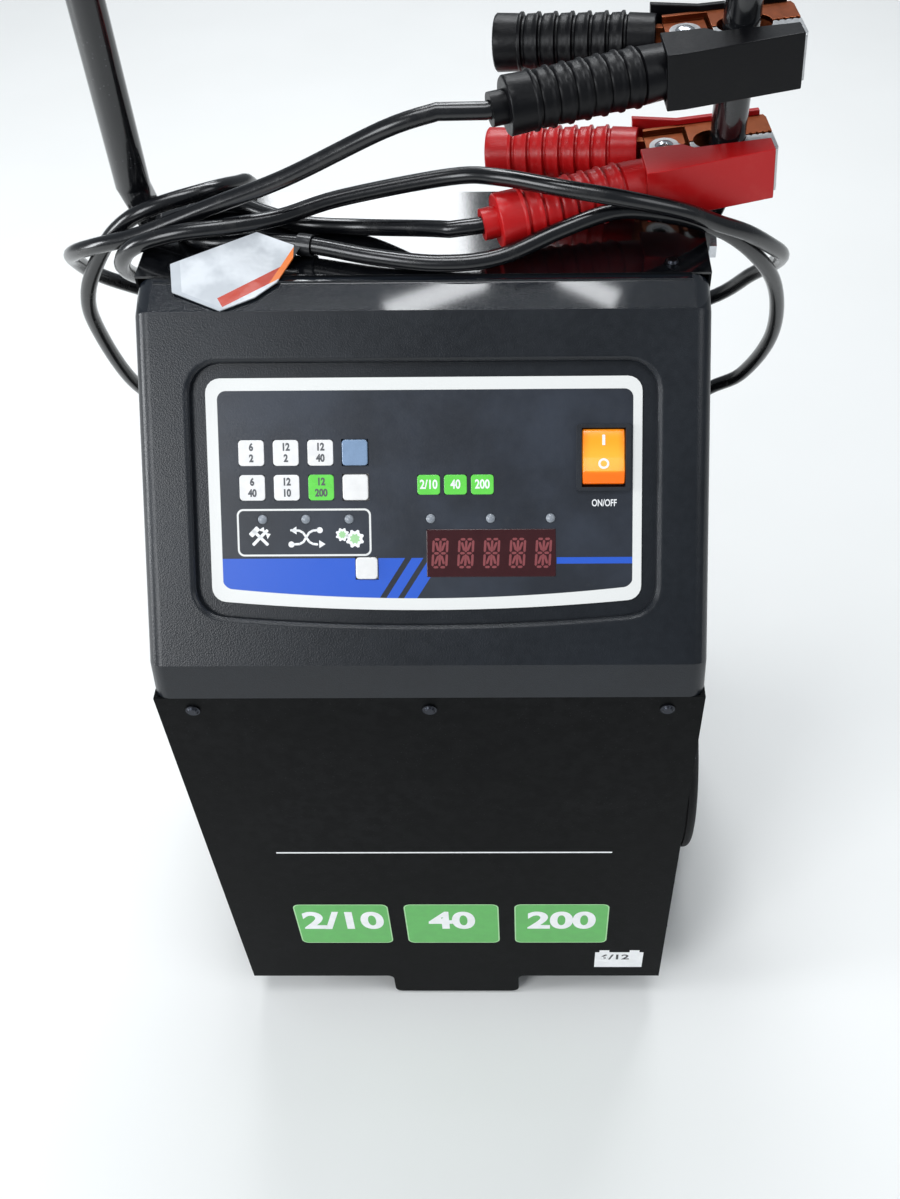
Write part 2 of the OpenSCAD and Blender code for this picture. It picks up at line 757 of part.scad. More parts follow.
module transformer_core() {
  color("#4b4d52") translate([0, core_y, pan_top + bracket_t]) difference() {
    translate([-core_w / 2, -core_d / 2, 0]) cube([core_w, core_d, core_h]);
    for (x = [-1, 1])
      translate([x * core_w / 4 - core_w / 12, -core_d, core_h / 6])
        cube([core_w / 6, 2 * core_d, core_h * 2 / 3]);
    for (x = [-1, 1])
      translate([x * (core_w / 2 - 8), 0, 8]) rotate([90, 0, 0])
        cylinder(r = 2.6, h = 2 * core_d, center = true);
  }
}

module transformer_windings() {
  color("#b5652a") translate([0, core_y, pan_top + bracket_t + core_h / 6]) difference() {
    linear_extrude(core_h * 2 / 3)
      rounded_rect(core_w * 2 / 3, core_d + 2 * winding_over, winding_over);
    translate([-core_w / 6, -core_d / 2, -1]) cube([core_w / 3, core_d, core_h]);
  }
}

module transformer_bracket() {
  color("#8c9096") translate([0, core_y, pan_top]) difference() {
    union() {
      translate([-core_w / 2 - 18, -core_d / 2, 0]) cube([core_w + 36, core_d, bracket_t]);
      for (x = [-1, 1])
        translate([x * (core_w / 2 + bracket_t / 2) - bracket_t / 2, -core_d / 2, 0])
          cube([bracket_t, core_d, core_h / 2]);
    }
    for (x = [-1, 1], y = [-1, 1])
      translate([x * (core_w / 2 + 11), y * (core_d / 2 - 10), -1])
        cylinder(r = 3.2, h = bracket_t + 2);
  }
}

sink_w = 90;
sink_h = 100;
sink_z = 175;
shelf_w = 170;

module heat_sink() {
  shelf_t = 3;
  color("#b9bcc2") translate([0, 0, sink_z]) {
    translate([-sink_w / 2, 0, -shelf_t]) cube([sink_w, 5, sink_h + shelf_t]);
    for (i = [0:8]) translate([-sink_w / 2 + i * (sink_w - 2) / 8, 4, 0])
      cube([2, 29, sink_h]);
    translate([-shelf_w / 2, -20, -shelf_t]) cube([shelf_w, 25, shelf_t]);
    for (x = [-shelf_w / 2, shelf_w / 2 - shelf_t])
      translate([x, -20, pan_top - sink_z]) cube([shelf_t, 25, sink_z - pan_top]);
  }
}

module rectifiers() {
  color("#c9a24a") for (x = [-24, 24], z = [30, 70])
    translate([x, 0, sink_z + z]) rotate([90, 0, 0]) {
      cylinder(r = 8, h = 6);
      cylinder(r = 2, h = 18);
    }
}

module fan_frame() {
  color("#1b1b1d") translate([0, fan_y, fan_z]) rotate([-90, 0, 0]) difference() {
    union() {
      difference() {
        translate([0, 0, -fan_d / 2]) linear_extrude(fan_d) rounded_rect(fan_w, fan_w, 5);
        cylinder(r = fan_hole_r, h = 2 * fan_d, center = true);
      }
      translate([0, 0, -fan_d / 2]) cylinder(r = fan_hub_r - 3, h = 3);
      for (a = [0:90:270]) rotate([0, 0, a + 45]) translate([0, -2.5, -fan_d / 2])
        cube([fan_hole_r + 2, 5, 3]);
    }
    cylinder(r = fan_shaft_r + fan_fit, h = 2 * fan_d, center = true);
    for (x = [-1, 1], y = [-1, 1]) translate([x * fan_screw_at, y * fan_screw_at, 0])
      cylinder(r = screw_r, h = 2 * fan_d, center = true);
  }
}

module fan_rotor() {
  color("#2e2f33") translate([0, fan_y, fan_z]) rotate([-90, 0, 0]) {
    translate([0, 0, -fan_d / 2 + 3.5]) cylinder(r = fan_hub_r, h = fan_d - 6);
    translate([0, 0, -fan_d / 2]) cylinder(r = fan_shaft_r, h = 4);
    for (a = [0:360 / 7:359]) rotate([0, 0, a]) translate([fan_hub_r - 2, 0, 0.5])
      rotate([35, 0, 0]) translate([0, -11, -0.8])
        cube([fan_hole_r - fan_hub_r, 22, 1.6]);
  }
}

module fan_guard() {
  bar = 1.6;
  color("#3a3b40") on_rear(0, fan_z) {
    for (i = [1:guard_rings]) rotate_extrude()
      translate([i * (fan_hole_r + 1) / guard_rings, bar + guard_wire / 2])
        circle(guard_wire, $fn = 16);
    for (a = [45, 135]) rotate([0, 0, a])
      translate([-fan_screw_at * sqrt(2), -2, 0]) cube([2 * fan_screw_at * sqrt(2), 4, bar]);
    for (x = [-1, 1], y = [-1, 1]) translate([x * fan_screw_at, y * fan_screw_at, 0])
      cylinder(r = screw_head_r, h = screw_head_h + 0.5);
  }
}

module mains_inlet() {
  color("#121214") on_rear(inlet_at[0], inlet_at[1]) {
    difference() {
      union() {
        linear_extrude(inlet_t) rounded_rect(inlet_w, inlet_h, 3);
        translate([0, 0, -inlet_d / 2])
          cube([inlet_w - 12.4, inlet_h - 4.4, inlet_d], center = true);
      }
      translate([-socket_w / 2, -socket_h / 2, inlet_t - socket_d])
        cube([socket_w, socket_h, socket_d + 1]);
    }
    for (x = [-7, 0, 7]) translate([x - 1, x == 0 ? 2 : -4, inlet_t - socket_d - 0.5])
      cube([2, 4, 14]);
    for (x = [-1, 1]) translate([x * (inlet_w / 2 - 4), 0, inlet_t]) screw(inlet_t + 3);
  }
}

// ---- wheels and handle ----

module axle() {
  color("#8c9096") translate([0, axle_y, axle_z]) rotate([0, 90, 0])
    cylinder(r = axle_r, h = 2 * (hub_out_x + cap_gap + cap_t - 0.8), center = true);
}

module tyre(side) {
  color("#141414") translate([side * (tyre_in_x + tyre_w / 2), axle_y, axle_z])
    rotate([0, 90, 0]) rotate_extrude($fn = 96) difference() {
      union() {
        translate([rim_r, -tyre_w / 2]) square([wheel_r - rim_r - 4, tyre_w]);
        translate([rim_r, -tyre_w / 2 + 4]) square([wheel_r - rim_r, tyre_w - 8]);
        for (s = [-1, 1]) translate([wheel_r - 4, s * (tyre_w / 2 - 4)]) circle(4);
      }
      for (s = [-1, 0, 1]) translate([wheel_r, s * 5]) square([3, 1.6], center = true);
    }
}

module rim(side) {
  spoke_w = 16;
  color("#1c1c1e") translate([side * (tyre_in_x + tyre_w / 2), axle_y, axle_z])
    rotate([0, side * 90, 0]) difference() {
      union() {
        translate([0, 0, hub_in_x - tyre_in_x - tyre_w / 2])
          cylinder(r = hub_r, h = hub_out_x - hub_in_x);
        difference() {
          cylinder(r = rim_r, h = tyre_w - 2, center = true, $fn = 96);
          cylinder(r = rim_r - 5, h = tyre_w, center = true, $fn = 96);
        }
        for (a = [0:72:288]) rotate([0, 0, a]) translate([hub_r - 3, -spoke_w / 2, -4])
          cube([rim_r - hub_r - 1, spoke_w, 8]);
      }
      cylinder(r = axle_r + axle_fit, h = 3 * tyre_w, center = true);
    }
}

module axle_caps() {
  color("#c4c7cc") for (side = [-1, 1])
    translate([side * (hub_out_x + cap_gap), axle_y, axle_z]) rotate([0, side * 90, 0])
      difference() {
        cylinder(r = cap_r, h = cap_t);
        translate([0, 0, -1]) cylinder(r = axle_r, h = cap_t + 0.2);
      }
}

module handle_tube() {
  r = tube_d / 2;
  bar_z = handle_top - r;
  leg_top = bar_z - handle_bend;
  color("#0e0e10") difference() {
    union() {
      translate([0, leg_y, bar_z]) rotate([0, 90, 0])
        cylinder(r = r, h = 2 * (leg_x - handle_bend), center = true);
      for (s = [-1, 1]) {
        translate([s * (leg_x - handle_bend), leg_y, leg_top]) rotate([90, 0, 0])
          rotate([0, 0, s > 0 ? 0 : 90]) rotate_extrude(angle = 90)
            translate([handle_bend, 0]) circle(r);
        translate([s * leg_x, leg_y, leg_low_z]) cylinder(r = r, h = leg_top - leg_low_z);
        hull() {
          translate([s * leg_x, leg_y, leg_low_z]) cylinder(r = r, h = 0.2, $fn = 32);
          translate([s * (half_w + tab_t / 2), leg_y, tab_top_z - 0.1])
            cube([tab_t, tab_w, 0.2], center = true);
        }
        along_x(s > 0 ? half_w : -half_w - tab_t, s > 0 ? half_w + tab_t : -half_w) {
          translate([leg_y - tab_w / 2, tab_bottom_z + tab_w / 2])
            square([tab_w, tab_len - tab_w / 2]);
          translate([leg_y, tab_bottom_z + tab_w / 2]) circle(tab_w / 2);
        }
      }
    }
    for (s = [-1, 1]) at_handle_bolts(s)
      translate([0, 0, -1]) cylinder(r = bolt_r, h = tab_t + 3);
  }
}

module handle_bolts() {
  color("#9a9da3") for (s = [-1, 1]) at_handle_bolts(s) {
    translate([0, 0, -bolt_tip]) cylinder(r = bolt_r, h = bolt_tip + tab_t);
    translate([0, 0, tab_t]) cylinder(r = 1.9 * bolt_r, h = 1.2);
    translate([0, 0, tab_t]) cylinder(r = 1.65 * bolt_r, h = bolt_head_t, $fn = 6);
    translate([0, 0, -sheet - 5]) cylinder(r = 1.65 * bolt_r, h = 5, $fn = 6);
  }
}

// ---- leads ----

module gland(side) {
  color("#141414") on_rear(side * gland_x, gland_z) difference() {
    union() {
      cylinder(r = gland_r, h = 5, $fn = 6);
      translate([0, 0, 5]) cylinder(r1 = gland_r - 2, r2 = gland_tip_r, h = gland_len - 5);
      translate([0, 0, -8]) cylinder(r = gland_tip_r, h = 8);
      translate([0, 0, -sheet - 4]) cylinder(r = gland_r - 1, h = 4, $fn = 6);
    }
    cylinder(r = lead_r + lead_gap, h = 3 * gland_len, center = true);
  }
}

// Catmull-Rom point between b and c
function spline(a, b, c, d, t) = 0.5 * (2 * b + t * (c - a)
  + t * t * (2 * a - 5 * b + 4 * c - d) + t * t * t * (3 * b - a - 3 * c + d));
function smooth(p) = [for (i = [0:len(p) - 2])
  let (steps = ceil(norm(p[i + 1] - p[i]) / ring_gap)) for (k = [0:steps - 1])
    spline(p[max(i - 1, 0)], p[i], p[i + 1], p[min(i + 2, len(p) - 1)], k / steps),
  p[len(p) - 1]];
function unit(v) = v / norm(v);
function way(p, i) = unit(p[min(i + 1, len(p) - 1)] - p[max(i - 1, 0)]);
// Side vector carried along the line without twist
function carried(p, i) = i == 0 ? unit(cross(way(p, 0), [0, 0, 1]))
  : let (w = way(p, i), s = carried(p, i - 1)) unit(s - (s * w) * w);

module tube_along(p, r) {
  rings = [for (i = [0:len(p) - 1]) let (w = way(p, i), s = carried(p, i), q = cross(w, s))
    for (k = [0:lead_sides - 1]) let (a = 360 * k / lead_sides)
      p[i] + r * (cos(a) * s + sin(a) * q)];
  n = lead_sides;
  last = len(p) - 1;
  polyhedron(rings, concat(
    [[for (k = [0:n - 1]) k]],
    [for (i = [0:last - 1], k = [0:n - 1])
      [i * n + k, (i + 1) * n + k, (i + 1) * n + (k + 1) % n, i * n + (k + 1) % n]],
    [[for (k = [n - 1:-1:0]) last * n + k]]), convexity = 12);
}

module lead_black() {
  color("#15161a") tube_along(concat(smooth(black_points),
    [clamp_point(black_reach, black_lean, black_z, collar_end(2)),
     clamp_point(black_reach, black_lean, black_z, collar_end(-4))]), lead_r);
}
module lead_red() {
  color("#15161a") tube_along(concat(smooth(red_points),
    [clamp_point(red_reach, red_lean, red_z, collar_end(2)),
     clamp_point(red_reach, red_lean, red_z, collar_end(-4))]), lead_r);
}

// ---- clamps ----

// Frame of a clamp: x towards the jaw tips, y to the rear lever, z along the rivet
module at_clamp(reach, lean, z) {
  translate([leg_x - reach * cos(clamp_turn), leg_y - reach * sin(clamp_turn), z])
    rotate([0, -lean, clamp_turn]) children();
}
function turn_y(p, a) = [p[0] * cos(a) + p[2] * sin(a), p[1], p[2] * cos(a) - p[0] * sin(a)];
function turn_z(p, a) = [p[0] * cos(a) - p[1] * sin(a), p[0] * sin(a) + p[1] * cos(a), p[2]];
function clamp_point(reach, lean, z, p) =
  [leg_x - reach * cos(clamp_turn), leg_y - reach * sin(clamp_turn), z]
  + turn_z(turn_y(p, -lean), clamp_turn);
// A point on the grip's axis, this far outside the collar
function collar_end(out) = let (s = grip_start + grip_len + collar_len + out)
  [-s * cos(grip_spread), -grip_off - s * sin(grip_spread), 0];

// Turns z along the front lever's grip, away from the pivot
module along_grip() {
  translate([0, -grip_off, 0]) rotate([0, 0, grip_spread]) rotate([0, -90, 0]) children();
}

module grip_core() {
  along_grip() translate([-core_bar[0] / 2, -core_bar[1] / 2, 2])
    cube([core_bar[0], core_bar[1], grip_start + grip_len - 10]);
}

// Side of the grip from its start to its end face, with a groove before each ring
function grip_side(r) = concat([[r - 1.6, 0], [r - 1.4, 2]],
  [for (i = [grip_rings - 1:-1:0]) let (at = grip_len - grip_end_len - i * ring_pitch)
    each [[r - 0.9, at - 2.6], [r - 1.9, at - 1.8], [r - 1.9, at - 1], [r, at - 0.4],
      [r, at + 0.6], [r - 0.7, at + 1.2]]],
  [[r - 0.4, grip_len - 0.8], [r - 1.2, grip_len]]);

module grip(collared) {
  r = grip_d / 2;
  end = grip_len + (collared ? collar_len : 0.5);
  difference() {
    along_grip() translate([0, 0, grip_start]) rotate_extrude()
      polygon(concat([[0, 0]], grip_side(r), [[collar_r, grip_len], [collar_r, end], [0, end]]));
    grip_core();
    if (collared) along_grip() translate([0, 0, grip_start + grip_len - 6])
      cylinder(r = lead_r + lead_gap, h = collar_len + 10);
  }
}

// Boxy cover over the jaw, open towards the other jaw and at the tip
module hood() {
  tip = jaw_reach - 2.5;
  difference() {
    linear_extrude(hood_h, center = true)
      polygon([[-12, -hood_back], [-4, -hood_back], [tip, -hood_tip_back], [tip, -9.6],
        [13, -9.6], [8, -5], [-12, -5]]);
    linear_extrude(hood_h - 2 * hood_wall, center = true)
      polygon([[-16, -hood_back + hood_wall], [-4, -hood_back + hood_wall],
        [tip + 5, -hood_tip_back + hood_wall - 0.6], [tip + 5, 0], [-16, 0]]);
  }
}

// Thin strip of the rear sleeve that follows the back of the jaw
module hood_back_wall() {
  tip = jaw_reach - 2.5;
  linear_extrude(hood_h, center = true)
    polygon([[-12, -hood_back], [9, -hood_tip_back], [tip, -hood_tip_back], [tip, -jaw_back],
      [9, -jaw_back], [-12, hood_tip_back - jaw_back - hood_back]]);
}

module jaw_side(low_x) {
  difference() {
    polygon([[low_x, -jaw_back], [jaw_reach - 1, -jaw_back], [jaw_reach, -jaw_back + 3],
      [jaw_reach, -0.6], [low_x, -0.6]]);
    hull() for (x = jaw_slot) translate([x, 0]) circle(jaw_grip_r, $fn = 32);
    for (i = [0:3]) translate([jaw_slot[1] + jaw_grip_r + 2.4 + i * 3, -0.6])
      rotate([0, 0, 45]) square(tooth, center = true);
  }
}

module ear(out) {
  for (s = [-1, 1]) translate([0, 0, s * (out - ear_t / 2)])
    linear_extrude(ear_t, center = true) {
      circle(ear_r);
      polygon([[-8, -jaw_back], [11, -jaw_back], [11, -4], [ear_r, 0], [-ear_r, 0], [-8, -4]]);
    }
}

// Metal lever of the front half; the rear half is its mirror with nested ears
module clamp_lever(inner) {
  difference() {
    union() {
      difference() {
        linear_extrude(2 * ear_out, center = true) jaw_side(12.2);
        linear_extrude(2 * (ear_out - ear_t), center = true)
          translate([0, ear_t]) jaw_box();
      }
      translate([-8, -jaw_back, -ear_out]) cube([22, ear_t, 2 * ear_out]);
      ear(inner ? ear_out - ear_t - ear_gap : ear_out);
      grip_core();
    }
    cylinder(r = rivet_r + (inner ? rivet_fit : 0), h = 40, center = true);
  }
}

module jaw_box() {
  translate([0, -jaw_back]) square([2 * jaw_reach, jaw_back + 5]);
}

module clamp_rivet() {
  cylinder(r = rivet_r, h = 2 * ear_out, center = true);
  for (s = [0, 180]) rotate([s, 0, 0]) translate([0, 0, ear_out])
    intersection() {
      translate([0, 0, -5.4]) sphere(r = 7);
      cylinder(r = 4.4, h = 2);
    }
}

module clamp_spring() {
  inner_ear = ear_out - 2 * ear_t - ear_gap;
  turns = floor(2 * (inner_ear - 0.6) / 2) - 1;
  for (i = [0:turns]) translate([0, 0, (i - turns / 2) * 1.9]) rotate_extrude()
    translate([4.6, 0]) circle(1, $fn = 16);
  translate([-4.6, 0, 0]) rotate([90, 0, 0]) cylinder(r = 1, h = 11.3, $fn = 16);
}

// The front sleeve is boxed in and takes the lead; the rear one is only a back and a grip
module sleeve() {
  grip(true);
  hood();
}
module rear_sleeve() {
  grip(false);
  hood_back_wall();
}

module black_at() { at_clamp(black_reach, black_lean, black_z) children(); }
module red_at() { at_clamp(red_reach, red_lean, red_z) children(); }

module black_clamp_lever() { color("#a9a49c") black_at() clamp_lever(false); }
module black_clamp_sleeve() { color("#17181a") black_at() sleeve(); }
module black_clamp_jaw_lever() {
  color("#7c3f28") black_at() mirror([0, 1, 0]) clamp_lever(true);
}
module black_clamp_jaw_sleeve() { color("#17181a") black_at() mirror([0, 1, 0]) rear_sleeve(); }
module black_clamp_rivet() { color("#c9ccd0") black_at() clamp_rivet(); }
module red_clamp_lever() { color("#a9a49c") red_at() clamp_lever(false); }
module red_clamp_sleeve() { color("#c42f33") red_at() sleeve(); }
module red_clamp_jaw_lever() {
  color("#7c3f28") red_at() mirror([0, 1, 0]) clamp_lever(true);
}
module red_clamp_jaw_sleeve() { color("#c42f33") red_at() mirror([0, 1, 0]) rear_sleeve(); }
module red_clamp_rivet() { color("#c9ccd0") red_at() clamp_rivet(); }
module clamp_springs() {
  color("#9a9da3") {
    black_at() clamp_spring();
    red_at() clamp_spring();
  }
}

// Card tag on the red lead: rests on the cover's front edge, its collar round the lead
module lead_tag() {
  collar_at = (tag_ring[0] + tag_ring[1]) / 2;
  run = tag_ring[1] - tag_ring[0];
  color("#f4f2ee") {
    translate([0, 0, tag_z]) rotate([tag_slope, 0, 0]) linear_extrude(tag_t) polygon(tag_outline);
    translate(collar_at) rotate([0, 0, atan2(run[1], run[0])]) rotate([0, 90, 0]) difference() {
      cylinder(r = lead_r + tag_ring_wall, h = 7, center = true);
      cylinder(r = lead_r + lead_gap, h = 20, center = true);
    }
  }
}

// ---- fasteners ----

module front_screws() { color("#8c9096") at_front_screws() screw(); }
module cover_screws() { color("#8c9096") at_cover_screws() screw(); }
module side_screws() { color("#8c9096") for (s = [-1, 1]) at_side_screws(s) screw(5); }
module rear_screws() { color("#8c9096") at_rear_screws() screw(5); }

floor_pan();
front_panel();
control_head();
top_cover();
side_panel(-1);  // side_panel_left
side_panel(1);  // side_panel_right
rear_panel();
front_foot();
foot_pad();
label_plate();
display_window();
display_module();
indicator_windows();
indicator_lamps();
function_key();
start_key();
display_key();
rocker_frame();
rocker();
control_board();
board_posts();
transformer_core();
transformer_windings();
transformer_bracket();
heat_sink();
rectifiers();
fan_frame();
fan_rotor();
fan_guard();
mains_inlet();
axle();
tyre(-1);  // tyre_left
rim(-1);  // rim_left
tyre(1);  // tyre_right
rim(1);  // rim_right
axle_caps();
handle_tube();
handle_bolts();
gland(-1);  // gland_black
gland(1);  // gland_red
lead_black();
lead_red();
black_clamp_lever();
black_clamp_sleeve();
black_clamp_jaw_lever();
black_clamp_jaw_sleeve();
black_clamp_rivet();
red_clamp_lever();
red_clamp_sleeve();
red_clamp_jaw_lever();
red_clamp_jaw_sleeve();
red_clamp_rivet();
clamp_springs();
lead_tag();
front_screws();
cover_screws();
side_screws();
rear_screws();
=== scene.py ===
"""Looks of a wheeled battery charger: its finishes, printed face, leads, clamps and studio."""

import logging
import math
from dataclasses import dataclass
from enum import Enum
from typing import Any, Callable, Iterable, Mapping, Optional, Sequence, Union

import bmesh
import bpy
from mathutils import Euler, Matrix, Vector


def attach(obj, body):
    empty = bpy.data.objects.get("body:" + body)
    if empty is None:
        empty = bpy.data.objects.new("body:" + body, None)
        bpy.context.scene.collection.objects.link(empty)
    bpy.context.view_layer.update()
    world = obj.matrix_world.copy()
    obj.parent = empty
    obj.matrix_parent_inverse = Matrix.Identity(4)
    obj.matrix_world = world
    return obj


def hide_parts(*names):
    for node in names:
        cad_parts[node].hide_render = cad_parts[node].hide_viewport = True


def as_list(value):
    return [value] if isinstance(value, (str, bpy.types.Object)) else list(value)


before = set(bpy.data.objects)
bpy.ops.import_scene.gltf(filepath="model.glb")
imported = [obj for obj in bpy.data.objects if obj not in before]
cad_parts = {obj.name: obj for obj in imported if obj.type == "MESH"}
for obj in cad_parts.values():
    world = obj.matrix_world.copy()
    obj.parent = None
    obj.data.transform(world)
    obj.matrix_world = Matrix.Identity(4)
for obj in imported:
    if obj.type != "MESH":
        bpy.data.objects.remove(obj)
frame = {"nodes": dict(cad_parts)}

LOG = logging.getLogger("charger")
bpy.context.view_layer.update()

Point = tuple[float, float, float]
Flat = tuple[float, float]
Colour = tuple[float, float, float]
Object = bpy.types.Object
Material = bpy.types.Material

MM = 0.001
FRONT_Y = -115.0
LIP_TOP: Flat = (-110.0, 350.0)
FACE_TILT = 40.5
LABEL_TOP = -3.8


def tone(code: str) -> Colour:
    """Turns a hex colour into linear light.

    Args:
        code: Six hex digits.

    Returns:
        The linear red, green and blue.
    """
    parts = [int(code[i:i + 2], 16) / 255 for i in (0, 2, 4)]
    return tuple(c / 12.92 if c <= 0.04045 else ((c + 0.055) / 1.055) ** 2.4 for c in parts)


# ---------------------------------------------------------------- shader maths


class Sock:
    """One output of a shader node, which takes part in Python arithmetic."""

    def __init__(self, shader: "Shader", socket: Any) -> None:
        """Keeps the shader that the output belongs to, and the output."""
        self.shader = shader
        self.socket = socket

    def __add__(self, other: "Value") -> "Sock":
        """Adds."""
        return self.shader.maths("ADD", self, other)

    __radd__ = __add__

    def __sub__(self, other: "Value") -> "Sock":
        """Subtracts."""
        return self.shader.maths("SUBTRACT", self, other)

    def __rsub__(self, other: "Value") -> "Sock":
        """Subtracts this from a number."""
        return self.shader.maths("SUBTRACT", other, self)

    def __mul__(self, other: "Value") -> "Sock":
        """Multiplies."""
        return self.shader.maths("MULTIPLY", self, other)

    __rmul__ = __mul__

    def __truediv__(self, other: "Value") -> "Sock":
        """Divides."""
        return self.shader.maths("DIVIDE", self, other)

    def __lt__(self, other: "Value") -> "Sock":
        """1 where this is the smaller."""
        return self.shader.maths("LESS_THAN", self, other)

    def __gt__(self, other: "Value") -> "Sock":
        """1 where this is the greater."""
        return self.shader.maths("GREATER_THAN", self, other)

    def __abs__(self) -> "Sock":
        """Size without its sign."""
        return self.shader.maths("ABSOLUTE", self)

    def __mod__(self, other: "Value") -> "Sock":
        """Remainder that is never negative."""
        return self.shader.maths("FLOORED_MODULO", self, other)

    def upto(self, other: "Value") -> "Sock":
        """The smaller of the two."""
        return self.shader.maths("MINIMUM", self, other)

    def atleast(self, other: "Value") -> "Sock":
        """The greater of the two."""
        return self.shader.maths("MAXIMUM", self, other)

    def ramp(self, low: float, high: float) -> "Sock":
        """Runs smoothly from 0 at low to 1 at high."""
        settings = {"interpolation_type": "SMOOTHSTEP"}
        node = self.shader.node("ShaderNodeMapRange", settings, {0: self, 1: low, 2: high})
        return Sock(self.shader, node.outputs[0])


Value = Union[float, int, Sock]


class Shader:
    """A material and its nodes."""

    def __init__(self, name: str) -> None:
        """Makes an empty material with its surface shader."""
        self.material = bpy.data.materials.new(name)
        self.material.use_nodes = True
        self.tree = self.material.node_tree
        self.tree.nodes.clear()
        self.surface = self.tree.nodes.new("ShaderNodeBsdfPrincipled")
        output = self.tree.nodes.new("ShaderNodeOutputMaterial")
        self.tree.links.new(self.surface.outputs[0], output.inputs[0])

    def node(self, kind: str, settings: Optional[Mapping[str, Any]] = None,
             sockets: Optional[Mapping[Any, Any]] = None) -> Any:
        """Adds a node.

        Args:
            kind: The node's type.
            settings: Its settings.
            sockets: Values or links of its sockets, by name or number.

        Returns:
            The node.
        """
        made = self.tree.nodes.new(kind)
        for key, value in (settings or {}).items():
            setattr(made, key, value)
        self.feed(made, sockets or {})
        return made

    def feed(self, node: Any, sockets: Mapping[Any, Any]) -> None:
        """Sets or links a node's sockets.

        Args:
            node: The node.
            sockets: Values or links, by the socket's name or number.
        """
        for key, value in sockets.items():
            socket = node.inputs[key]
            if isinstance(value, Sock):
                self.tree.links.new(value.socket, socket)
            elif isinstance(value, (int, float)):
                socket.default_value = value
            elif len(value) == 3 and len(socket.default_value) == 4:
                socket.default_value = (*value, 1)
            else:
                socket.default_value = value

    def maths(self, operation: str, *values: Value) -> Sock:
        """Adds a Math node.

        Args:
            operation: What it works out.
            values: Its numbers or links.

        Returns:
            Its output.
        """
        settings = {"operation": operation}
        made = self.node("ShaderNodeMath", settings, dict(enumerate(values)))
        return Sock(self, made.outputs[0])

    def place(self, origin: Point = (0, 0, 0), turn: Point = (0, 0, 0),
              unit: float = 1.0) -> Sock:
        """Object coordinates in a frame of the piece's own.

        Args:
            origin: The frame's origin, in metres.
            turn: Its turn, in degrees.
            unit: Length of its unit, in metres.

        Returns:
            The coordinates.
        """
        coordinates = self.node("ShaderNodeTexCoord").outputs["Object"]
        made = self.node("ShaderNodeMapping", {"vector_type": "TEXTURE"}, {
            "Vector": Sock(self, coordinates), "Location": origin,
            "Rotation": tuple(math.radians(a) for a in turn), "Scale": (unit,) * 3})
        return Sock(self, made.outputs[0])

    def axes(self, vector: Sock) -> list[Sock]:
        """The three parts of a vector."""
        made = self.node("ShaderNodeSeparateXYZ", None, {0: vector})
        return [Sock(self, out) for out in made.outputs]

    def vector(self, x: Value, y: Value, z: Value) -> Sock:
        """A vector from three numbers or links."""
        made = self.node("ShaderNodeCombineXYZ", None, {0: x, 1: y, 2: z})
        return Sock(self, made.outputs[0])

    def noise(self, at: Sock, scale: float, detail: float = 3.0,
              roughness: float = 0.55) -> Sock:
        """Soft noise over the surface.

        Args:
            at: Coordinates.
            scale: How fine it is.
            detail: Octaves.
            roughness: Strength of the finer ones.

        Returns:
            A number round 0.5.
        """
        made = self.node("ShaderNodeTexNoise", None, {
            "Vector": at, "Scale": scale, "Detail": detail, "Roughness": roughness})
        return Sock(self, made.outputs[0])

    def cells(self, at: Sock, scale: float) -> Sock:
        """Distance to scattered points, for specks and pits."""
        made = self.node("ShaderNodeTexVoronoi", None, {"Vector": at, "Scale": scale})
        return Sock(self, made.outputs["Distance"])

    def blend(self, factor: Value, first: Any, second: Any) -> Sock:
        """Mixes two colours.

        Args:
            factor: How much of the second.
            first: A colour or link.
            second: A colour or link.

        Returns:
            The mixed colour.
        """
        made = self.node("ShaderNodeMix", {"data_type": "RGBA"},
                         {0: factor, 6: first, 7: second})
        return Sock(self, made.outputs[2])

    def bump(self, height: Sock, distance: float) -> Sock:
        """A normal from a height.

        Args:
            height: The height, from 0 to 1.
            distance: What 1 stands for, in metres.

        Returns:
            The normal.
        """
        sockets = {"Height": height, "Distance": distance, "Strength": 1.0}
        return Sock(self, self.node("ShaderNodeBump", None, sockets).outputs[0])

    def end(self, **sockets: Any) -> Material:
        """Feeds the surface shader, and gives the material.

        Args:
            sockets: Its sockets, with _ for a space in their names.

        Returns:
            The material.
        """
        self.feed(self.surface, {key.replace("_", " "): v for key, v in sockets.items()})
        self.material.diffuse_color = self.surface.inputs["Base Color"].default_value
        return self.material


# -------------------------------------------------------------------- finishes


